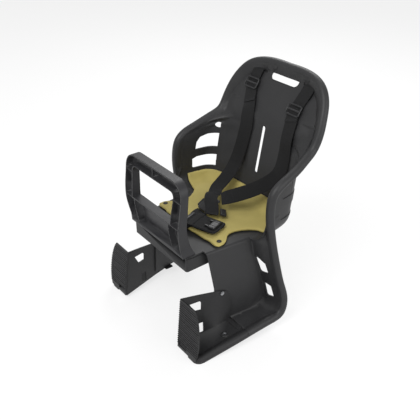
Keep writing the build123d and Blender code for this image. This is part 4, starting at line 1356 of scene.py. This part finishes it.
@dataclass
class Harness:
    """Shoulder straps with sliders, crotch strap with its pad, waist web, clips and buckle."""

    finishes: Finishes
    webbing_width: float = 38 * MM
    webbing_thick: float = 2 * MM
    slider_size: tuple[float, float] = (45.5 * MM, 27 * MM)
    pad_centre: tuple[float, float, float] = (44 * MM, -50 * MM, 62.4 * MM)
    pad_half: tuple[float, float, float] = (49 * MM, 31 * MM, 3.4 * MM)
    pad_way: tuple[float, float, float] = (0.95, 0.3, 0)
    pad_across: tuple[float, float, float] = (-0.3, 0.95, 0)
    housing_half: tuple[float, float, float] = (23 * MM, 19 * MM, 7 * MM)
    gap: float = 0.3 * MM

    def build(self) -> None:
        """Make all pieces of the harness."""
        self._straps()
        self._sliders()
        self._crotch()
        self._pad_fittings()
        self._buckle()
        self._waist()

    def _strap(
        self, node: str, route: list[np.ndarray], faces: list[tuple[float, float, float]],
        start: float, end: float,
    ) -> None:
        """Sweep one strap of the harness and sew a box on it.

        Args:
            node: the CAD node that it replaces.
            route: points of its middle line.
            faces: direction out of its face at each of them.
            start: share of its length where the box begins.
            end: share where the box ends.
        """
        band = Band(
            f"{node}_webbing", (node,), route, faces,
            self.webbing_width, self.webbing_thick, self.finishes.webbing,
        )
        band.build()
        band.stitches(self.finishes.thread, start, end)

    def _straps(self) -> None:
        """Sweep both shoulder straps and their tails, and sew the ends."""
        left = [
            head_point(-98, 122, -3.9), head_point(-98, 122, 1), head_point(-98, 120, 5),
            head_point(-98, 114, 6.4), head_point(-98, 100, 5.6), head_point(-98, 76, 3.8),
            head_point(-83, 40, 3.8), head_point(-68, 13, 8.5), at(-61, 178.5, 268), at(-57, 172, 243),
            at(-60, 162, 198), at(-64, 151, 158), at(-65, 134, 126), at(-58, 100, 104), at(-46, 62, 93),
            at(-34, 44, 88), at(-28, 34, 87),
        ]
        left_faces = [
            HEAD_UP, HEAD_UP, (0, -0.2, 1), HEAD_FACE, HEAD_FACE, HEAD_FACE, HEAD_FACE,
            (0.15, -0.85, 0.45), (0.3, -0.92, 0.2), (0.33, -0.92, 0.2), (0.36, -0.9, 0.22),
            (0.38, -0.86, 0.34), (0.38, -0.72, 0.58), (0.36, -0.6, 0.72), (0.3, -0.5, 0.82),
            (0.25, -0.45, 0.86), (0.2, -0.4, 0.9),
        ]
        right = [
            head_point(94, 122, -3.9), head_point(94, 122, 1), head_point(94, 120, 5),
            head_point(94, 114, 6.4), head_point(92, 100, 5.6), head_point(88, 85, 3.8),
            head_point(82, 50, 3.8), head_point(85, 35, 4.1), head_point(92, 16, 7.5), at(97, 175, 254),
            at(100, 169, 217), at(102, 158, 180), at(98, 145, 158), at(84, 120, 138), at(60, 86, 119),
            at(36, 60, 105), at(18, 46, 95), at(6, 35, 88.5),
        ]
        right_faces = [
            HEAD_UP, HEAD_UP, (0, -0.2, 1),
            HEAD_FACE, HEAD_FACE, HEAD_FACE, HEAD_FACE, HEAD_FACE, HEAD_FACE,
            BACK_FACE, (0.1, -0.97, 0.2), (0.25, -0.92, 0.3), (0.42, -0.84, 0.35), (0.5, -0.76, 0.4),
            (0.5, -0.72, 0.45), (0.48, -0.68, 0.52), (0.4, -0.6, 0.66), (0.2, -0.5, 0.84),
        ]
        self._strap("shoulder_strap_left", left, left_faces, 0.9, 0.97)
        self._strap("shoulder_strap_right", right, right_faces, 0.9, 0.97)
        tails = {
            Side.LEFT: [
                head_point(-98, 77, 6.0), head_point(-97, 74, 6.0), head_point(-83, 40, 6.0),
                head_point(-75.5, 25.5, 9.0),
            ],
            Side.RIGHT: [
                head_point(83.4, 58, 6.0), head_point(82, 50, 6.0), head_point(85, 35, 6.2),
                head_point(90, 19, 9.4),
            ],
        }
        for side, route in tails.items():
            self._strap(f"strap_tail_{side.label}", route, [HEAD_FACE] * len(route), 0.86, 0.97)

    def _sliders(self) -> None:
        """Make the three-bar sliders from rounded bars."""
        for side, centre in ((Side.LEFT, head_point(-98, 76, 8.7)), (Side.RIGHT, head_point(82, 50, 8.7))):
            frame = flat_ring(self.slider_size, 4 * MM, oval_profile(4.4 * MM, 3.6 * MM, 14))
            bar_line = np.array([[x * MM, 0, 0] for x in np.linspace(-21, 21, 12)])
            bar = sweep(bar_line, np.tile(UP, (12, 1)), oval_profile(5.0 * MM, 3.0 * MM))
            surface = frame.joined(bar)
            surface = with_ribs(surface, (0.5 * MM, 1.7 * MM, 0.35 * MM), 4 * MM, 4, 1.35 * MM, 0.6)
            surface = placed(surface, centre, (1, 0, 0), HEAD_FACE)
            node = f"strap_slider_{side.label}"
            settle(make_object(f"{node}_frame", surface, self.finishes.buckle, 50), Slot.BUCKLE, node)

    def _crotch(self) -> None:
        """Make the crotch strap, its padded cover and the ribbed adjuster."""
        route = [
            at(0, -101.8, 46.5), at(0, -93, 54.4), at(2, -80, 55.2), at(2, -55, 55.6), at(-10, -32, 56.4),
            at(-14, -22, 57), at(-14, -15, 57.4),
        ]
        faces = [(0, -0.6, 0.8), (0, -0.2, 1), UP, UP, UP, UP, UP]
        webbing = self.finishes.webbing
        Band("crotch_webbing", ("crotch_strap",), route, faces, 44 * MM, 2.4 * MM, webbing).build()
        way, centre = np.array(self.pad_way), np.array(self.pad_centre)
        pad = rounded_block(self.pad_half, 0.28, 0.55, 40)
        u, v = pad.points[:, 0] / self.pad_half[0], pad.points[:, 1] / self.pad_half[1]
        quilt = np.cos(u * math.pi * 2.5) ** 2 * np.clip(1 - v ** 4, 0, 1)
        pad.points[:, 2] *= 0.82 + 0.18 * quilt
        pad.uv = pad.points[:, :2].copy()
        piece = make_object("crotch_pad_cover", placed(pad, centre, way, UP), webbing, 180)
        settle(piece, Slot.WEBBING, "crotch_pad")
        piping = flat_ring((90 * MM, 54 * MM), 9 * MM, oval_profile(1.6 * MM, 1.0 * MM, 8, 1.0), 2.9 * MM)
        piping = placed(piping, centre, way, UP)
        settle(make_object("crotch_pad_seam", piping, self.finishes.thread, 180), Slot.WEBBING)
        place = centre - way * (55 * MM + self.gap)
        body = rounded_block((27 * MM, 5 * MM, 2.4 * MM), 0.25, 0.4, 20)
        body = with_ribs(body, (0.7 * MM, 4.2 * MM, 0.5 * MM), 3.6 * MM, 6, 2.0 * MM)
        body = placed(body, place, self.pad_across, UP)
        adjuster = make_object("crotch_adjuster_ribbed", body, self.finishes.buckle, 50)
        settle(adjuster, Slot.BUCKLE, "crotch_adjuster")

    def _pad_fittings(self) -> None:
        """Put a flat strap loop and a side-release clip with two prongs on the crotch pad."""
        way, centre = unit(np.array(self.pad_way)), np.array(self.pad_centre)
        loop = rounded_block((9 * MM, 32.5 * MM, 1.2 * MM), 0.15, 0.5, 24)
        loop.uv = loop.points[:, 1::-1].copy()
        loop = placed(loop, centre - way * 30 * MM + at(0, 0, 3.6), way, UP)
        settle(make_object("crotch_pad_loop", loop, self.finishes.webbing, 180), Slot.WEBBING)
        clip = rounded_block((11 * MM, 20 * MM, 3.4 * MM), 0.25, 0.45, 24)
        for sign in (-1, 1):
            prong = rounded_block((9 * MM, 3 * MM, 1.6 * MM), 0.3, 0.6, 14)
            prong.points += np.array([-14, sign * 13, 0]) * MM
            clip = clip.joined(prong)
            rail = rounded_block((10 * MM, 1.4 * MM, 0.8 * MM), 0.4, 0.8, 12)
            rail.points += np.array([0, sign * 9, 3.3]) * MM
            clip = clip.joined(rail)
        clip = placed(clip, centre + way * 30 * MM + at(0, 0, 6.2), way, UP)
        settle(make_object("crotch_pad_clip", clip, self.finishes.buckle, 50), Slot.BUCKLE)

    def _waist(self) -> None:
        """Lay the free web from the straps' meeting point over the buckle to the pad, with its clip."""
        route = [
            at(-32, 36, 89.5), at(-22, 22, 89), at(-10, 11, 86),
            at(6, 2, 79), at(20, -8, 71), at(26, -16, 68.6),
        ]
        faces = [
            (0.3, -0.4, 0.87), (0.4, -0.3, 0.87), (0.45, -0.35, 0.82),
            (0.5, -0.4, 0.77), (0.4, -0.3, 0.87), UP,
        ]
        band = Band("waist_web", (), route, faces, 36 * MM, 2 * MM, self.finishes.webbing)
        band.build()
        band.stitches(self.finishes.thread, 0.1, 0.3)
        along = np.array([0.77, -0.63, -0.1])
        clip = rounded_block((17 * MM, 8.5 * MM, 4.5 * MM), 0.25, 0.45, 24)
        clip = with_ribs(clip, (0.9 * MM, 6.5 * MM, 0.7 * MM), 3.6 * MM, 3, 4.3 * MM, steps=10)
        clip = placed(clip, at(36, 17, 66), along, (0.1, 0.25, 0.96))
        settle(make_object("waist_clip", clip, self.finishes.buckle, 50), Slot.BUCKLE)

    def _buckle(self) -> None:
        """Make the buckle housing with its button, the two levers and the two tongues."""
        up = np.array([0, 0.866, 0.5])
        face = np.array([0, -0.5, 0.866])
        centre = at(-14, 2, 69)
        housing = rounded_block(self.housing_half, 0.3, 0.45, 32)
        button = rounded_block((11 * MM, 8 * MM, 1.2 * MM), 0.6, 0.7, 18)
        button.points += np.array([0, -3 * MM, 6.4 * MM])
        rim = flat_ring((27 * MM, 20 * MM), 6 * MM, oval_profile(1.6 * MM, 1.0 * MM, 8, 1.0), 6.5 * MM)
        rim.points += np.array([0, -3 * MM, 0])
        housing = housing.joined(button).joined(rim)
        housing = placed(housing, centre, (1, 0, 0), face)
        settle(make_object("buckle_housing", housing, self.finishes.buckle, 50), Slot.BUCKLE, "buckle_body")
        for side in Side:
            sign = side.value
            lever = rounded_block((13 * MM, 4.5 * MM, 3 * MM), 0.35, 0.5, 20)
            lever = with_ribs(lever, (0.8 * MM, 4.0 * MM, 0.5 * MM), 3 * MM, 3, 2.6 * MM)
            place = centre + np.array([sign * (26 * MM + self.gap), 0, 0])
            lever = placed(lever, place, up, (sign, 0, 0))
            node = f"buckle_lever_{side.label}"
            settle(make_object(f"{node}_ribbed", lever, self.finishes.buckle, 50), Slot.BUCKLE, node)
            tongue = rounded_block((10 * MM, 6 * MM, 2.5 * MM), 0.3, 0.5, 20)
            place = centre + up * (25 * MM + self.gap) + np.array([sign * 13 * MM, 0, 0])
            tongue = placed(tongue, place, (1, 0, 0), face)
            node = f"buckle_tongue_{side.label}"
            settle(make_object(f"{node}_plate", tongue, self.finishes.buckle, 50), Slot.BUCKLE, node)


@dataclass
class SlotRims:
    """Raised edges round the strap slots and the carrying slot."""

    finishes: Finishes
    proud: float = 1.2 * MM

    def build(self) -> None:
        """Sweep one rim round each slot on the headrest's front."""
        slots = (
            ("strap_slot_left", -96, 122, 58, 12),
            ("strap_slot_right", 96, 122, 58, 12),
            ("hand_slot", 0, 118, 104, 28),
        )
        profile = oval_profile(2.2 * MM, 2 * self.proud, 10, 1.0)
        for name, x, h, width, height in slots:
            ring = flat_ring((width * MM, height * MM), height / 2.01 * MM, profile, per_corner=8)
            ring = placed(Surface(ring.points, ring.faces), head_point(x, h, -0.4), (1, 0, 0), HEAD_FACE)
            settle(make_object(f"{name}_rim", ring, self.finishes.shell, 180), Slot.SHELL)


@dataclass
class Eyelets:
    """Dark press studs in the pad's two front ears."""

    finishes: Finishes

    def build(self) -> None:
        """Turn a stud's ring and cap about its axis for each ear."""
        for side in Side:
            radius = np.array([0, 2.2, 3.4, 4.2, 5.4, 6.4, 6.6, 6.2]) * MM
            height = np.array([1.0, 1.0, 0.7, 0.5, 1.4, 1.0, 0.4, 0.0]) * MM
            cap = turned_cap(radius, height, 32)
            stud = placed(cap, at(side.value * 120, -64, 52.2), (1, 0, 0), UP)
            settle(make_object(f"pad_stud_{side.label}", stud, self.finishes.base, 50), Slot.BASE)


@dataclass
class TrayJoints:
    """Flange under each tray's seam and the raised boss under its floor bolt."""

    finishes: Finishes

    def build(self) -> None:
        """Make both pieces for each side."""
        for side in Side:
            flange = rounded_block((32 * MM, 13 * MM, 1.2 * MM), 0.15, 0.5, 24)
            flange.points += at(side.value * 167, -50, -188.6)
            settle(make_object(f"tray_flange_{side.label}", flange, self.finishes.tray, 50), Slot.TRAY)
            low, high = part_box(f"footrest_floor_bolt_{side.label}")
            middle = (np.array(low) + np.array(high)) / 2
            middle[2] = high[2] - 3.2 * MM
            radius = np.array([0.0, 5.0, 8.6, 9.8, 10.4]) * MM
            height = np.array([1.6, 1.6, 1.3, 0.6, -0.6]) * MM
            boss = turned_cap(radius, height, 36)
            boss.points += middle
            settle(make_object(f"tray_boss_{side.label}", boss, self.finishes.tray, 60), Slot.TRAY)


@dataclass
class Studio:
    """Camera at the photograph's viewpoint, soft lamps, pale floor and white surroundings."""

    azimuth: float = math.radians(52.176)
    elevation: float = math.radians(31.489)
    roll: float = math.radians(-0.207)
    lens: float = 51.68
    place: tuple[float, float, float] = (1.10165, -0.85490, 0.91766)
    # Share of plain white in what the camera sees of the floor, the rest keeps the shadow
    floor_white: float = 0.72
    floor_reach: float = 6.0
    aim: tuple[float, float, float] = (0, 0, 0.1)

    def build(self) -> None:
        """Make camera, lamps, floor and world."""
        self._camera()
        self._lamps()
        self._floor()
        self._world()
        bpy.context.scene.view_settings.view_transform = "Standard"

    def _camera(self) -> None:
        """Look back along the axis given by azimuth and elevation, turned by the roll."""
        a, e = self.azimuth, self.elevation
        back = Vector((math.sin(a) * math.cos(e), -math.cos(a) * math.cos(e), math.sin(e)))
        right = Vector((math.cos(a), math.sin(a), 0))
        up = back.cross(right)
        turned = right * math.cos(self.roll) + up * math.sin(self.roll)
        up = back.cross(turned)
        data = bpy.data.cameras.new("camera")
        data.lens = self.lens
        data.sensor_width = 36
        camera = bpy.data.objects.new("camera", data)
        camera.matrix_world = Matrix((
            (turned.x, up.x, back.x, self.place[0]),
            (turned.y, up.y, back.y, self.place[1]),
            (turned.z, up.z, back.z, self.place[2]),
            (0, 0, 0, 1),
        ))
        bpy.context.scene.collection.objects.link(camera)
        bpy.context.scene.camera = camera

    def _lamps(self) -> None:
        """Set a large key from above the camera, a side fill and a light from behind."""
        lamps = (
            ("key", (0.5, -1.6, 2.2), 1.8, 46.0),
            ("fill", (2.2, 0.6, 1.2), 1.6, 20.0),
            ("rear", (-1.4, 1.5, 1.8), 1.5, 27.0),
        )
        for name, place, size, power in lamps:
            data = bpy.data.lights.new(name, "AREA")
            data.shape = "DISK"
            data.size = size
            data.energy = power
            lamp = bpy.data.objects.new(name, data)
            lamp.location = place
            lamp.rotation_mode = "QUATERNION"
            lamp.rotation_quaternion = (Vector(self.aim) - Vector(place)).to_track_quat("-Z", "Y")
            bpy.context.scene.collection.objects.link(lamp)

    def _floor(self) -> None:
        """Lay a pale floor under the lowest point."""
        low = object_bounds()[0].z
        mesh = bpy.data.meshes.new("floor")
        reach = self.floor_reach
        corners = [(-reach, -reach, low), (reach, -reach, low), (reach, reach, low), (-reach, reach, low)]
        mesh.from_pydata(corners, [], [(0, 1, 2, 3)])
        floor = bpy.data.objects.new("floor", mesh)
        maker = NodeMaker("pale_floor")
        where = maker.object_space()
        tone = maker.noise(where, 0.5, 1.0)
        maker.feed(maker.shader, {
            "Base Color": maker.blend(tone, "#f2f2f2", "#f4f4f4"),
            "Roughness": 0.9,
            "Specular IOR Level": 0.2,
        })
        emission = maker.add("ShaderNodeEmission", {"Color": (1, 1, 1, 1), "Strength": 1.0})
        path = maker.add("ShaderNodeLightPath")
        seen = maker.add(
            "ShaderNodeMath", {0: path.outputs["Is Camera Ray"], 1: self.floor_white}, operation="MULTIPLY"
        ).outputs[0]
        share = maker.add(
            "ShaderNodeMath", {0: seen, 1: path.outputs["Is Glossy Ray"]}, operation="MAXIMUM"
        ).outputs[0]
        shaders = {0: share, 1: maker.shader.outputs[0], 2: emission.outputs[0]}
        mix = maker.add("ShaderNodeMixShader", shaders)
        output = maker.tree.nodes["Material Output"]
        maker.feed(output, {"Surface": mix.outputs[0]})
        mesh.materials.append(maker.material)
        bpy.context.scene.collection.objects.link(floor)
        floor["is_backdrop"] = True

    def _world(self) -> None:
        """Light grey all round, white for the camera itself and for what it sees through clear matter."""
        world = bpy.data.worlds.new("surroundings")
        world.use_nodes = True
        tree = world.node_tree
        background = tree.nodes["Background"]
        background.inputs["Color"].default_value = (1, 1, 1, 1)
        path = tree.nodes.new("ShaderNodeLightPath")
        seen = tree.nodes.new("ShaderNodeMath")
        seen.operation = "MAXIMUM"
        tree.links.new(path.outputs["Is Camera Ray"], seen.inputs[0])
        tree.links.new(path.outputs["Is Transmission Ray"], seen.inputs[1])
        level = tree.nodes.new("ShaderNodeMapRange")
        tree.links.new(seen.outputs[0], level.inputs["Value"])
        level.inputs["To Min"].default_value = 0.6
        level.inputs["To Max"].default_value = 1.0
        tree.links.new(level.outputs[0], background.inputs["Strength"])
        bpy.context.scene.world = world


def dress_rigid(nodes: dict[str, bpy.types.Object], finishes: Finishes, rim: RimCurve) -> None:
    """Give every rigid CAD node its smooth copy and finish.

    Args:
        nodes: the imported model's objects by node name.
        finishes: the seat's finishes.
        rim: the rim's curve, for the parts that carry it.
    """
    skins = {
        "seat_shell": (Slot.SHELL, finishes.shell),
        "carrier_base": (Slot.BASE, finishes.base),
        "grip_bar": (Slot.GRIP, finishes.grip),
        "footrest_left": (Slot.TRAY, finishes.tray),
        "footrest_right": (Slot.TRAY, finishes.tray),
        "strap_anchor_left": (Slot.BUCKLE, finishes.buckle),
        "strap_anchor_right": (Slot.BUCKLE, finishes.buckle),
        "crotch_anchor": (Slot.BUCKLE, finishes.buckle),
    }
    for node, (slot, material) in skins.items():
        rolled = node == "seat_shell" or node.startswith("footrest")
        CadSkin(node, slot, material, nodes, rim if rolled else None).build()
    for node in nodes:
        if "screw" in node or "bolt" in node or "nut" in node:
            CadSkin(node, Slot.SCREWS, finishes.steel, nodes).build()


def main() -> None:
    """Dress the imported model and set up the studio."""
    logging.basicConfig(level=logging.INFO)
    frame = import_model()
    cad_low, cad_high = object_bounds()
    nodes = frame["nodes"]
    finishes = Finishes()
    rim = RimCurve()
    dress_rigid(nodes, finishes, rim)
    RolledRim(rim, finishes, np.array(cad_low), np.array(cad_high)).build()
    WingLiner(nodes, finishes.shell).build()
    SeatPad(nodes, finishes).build()
    Harness(finishes).build()
    SlotRims(finishes).build()
    Eyelets(finishes).build()
    TrayJoints(finishes).build()
    Studio().build()


if __name__ == "__main__":
    main()
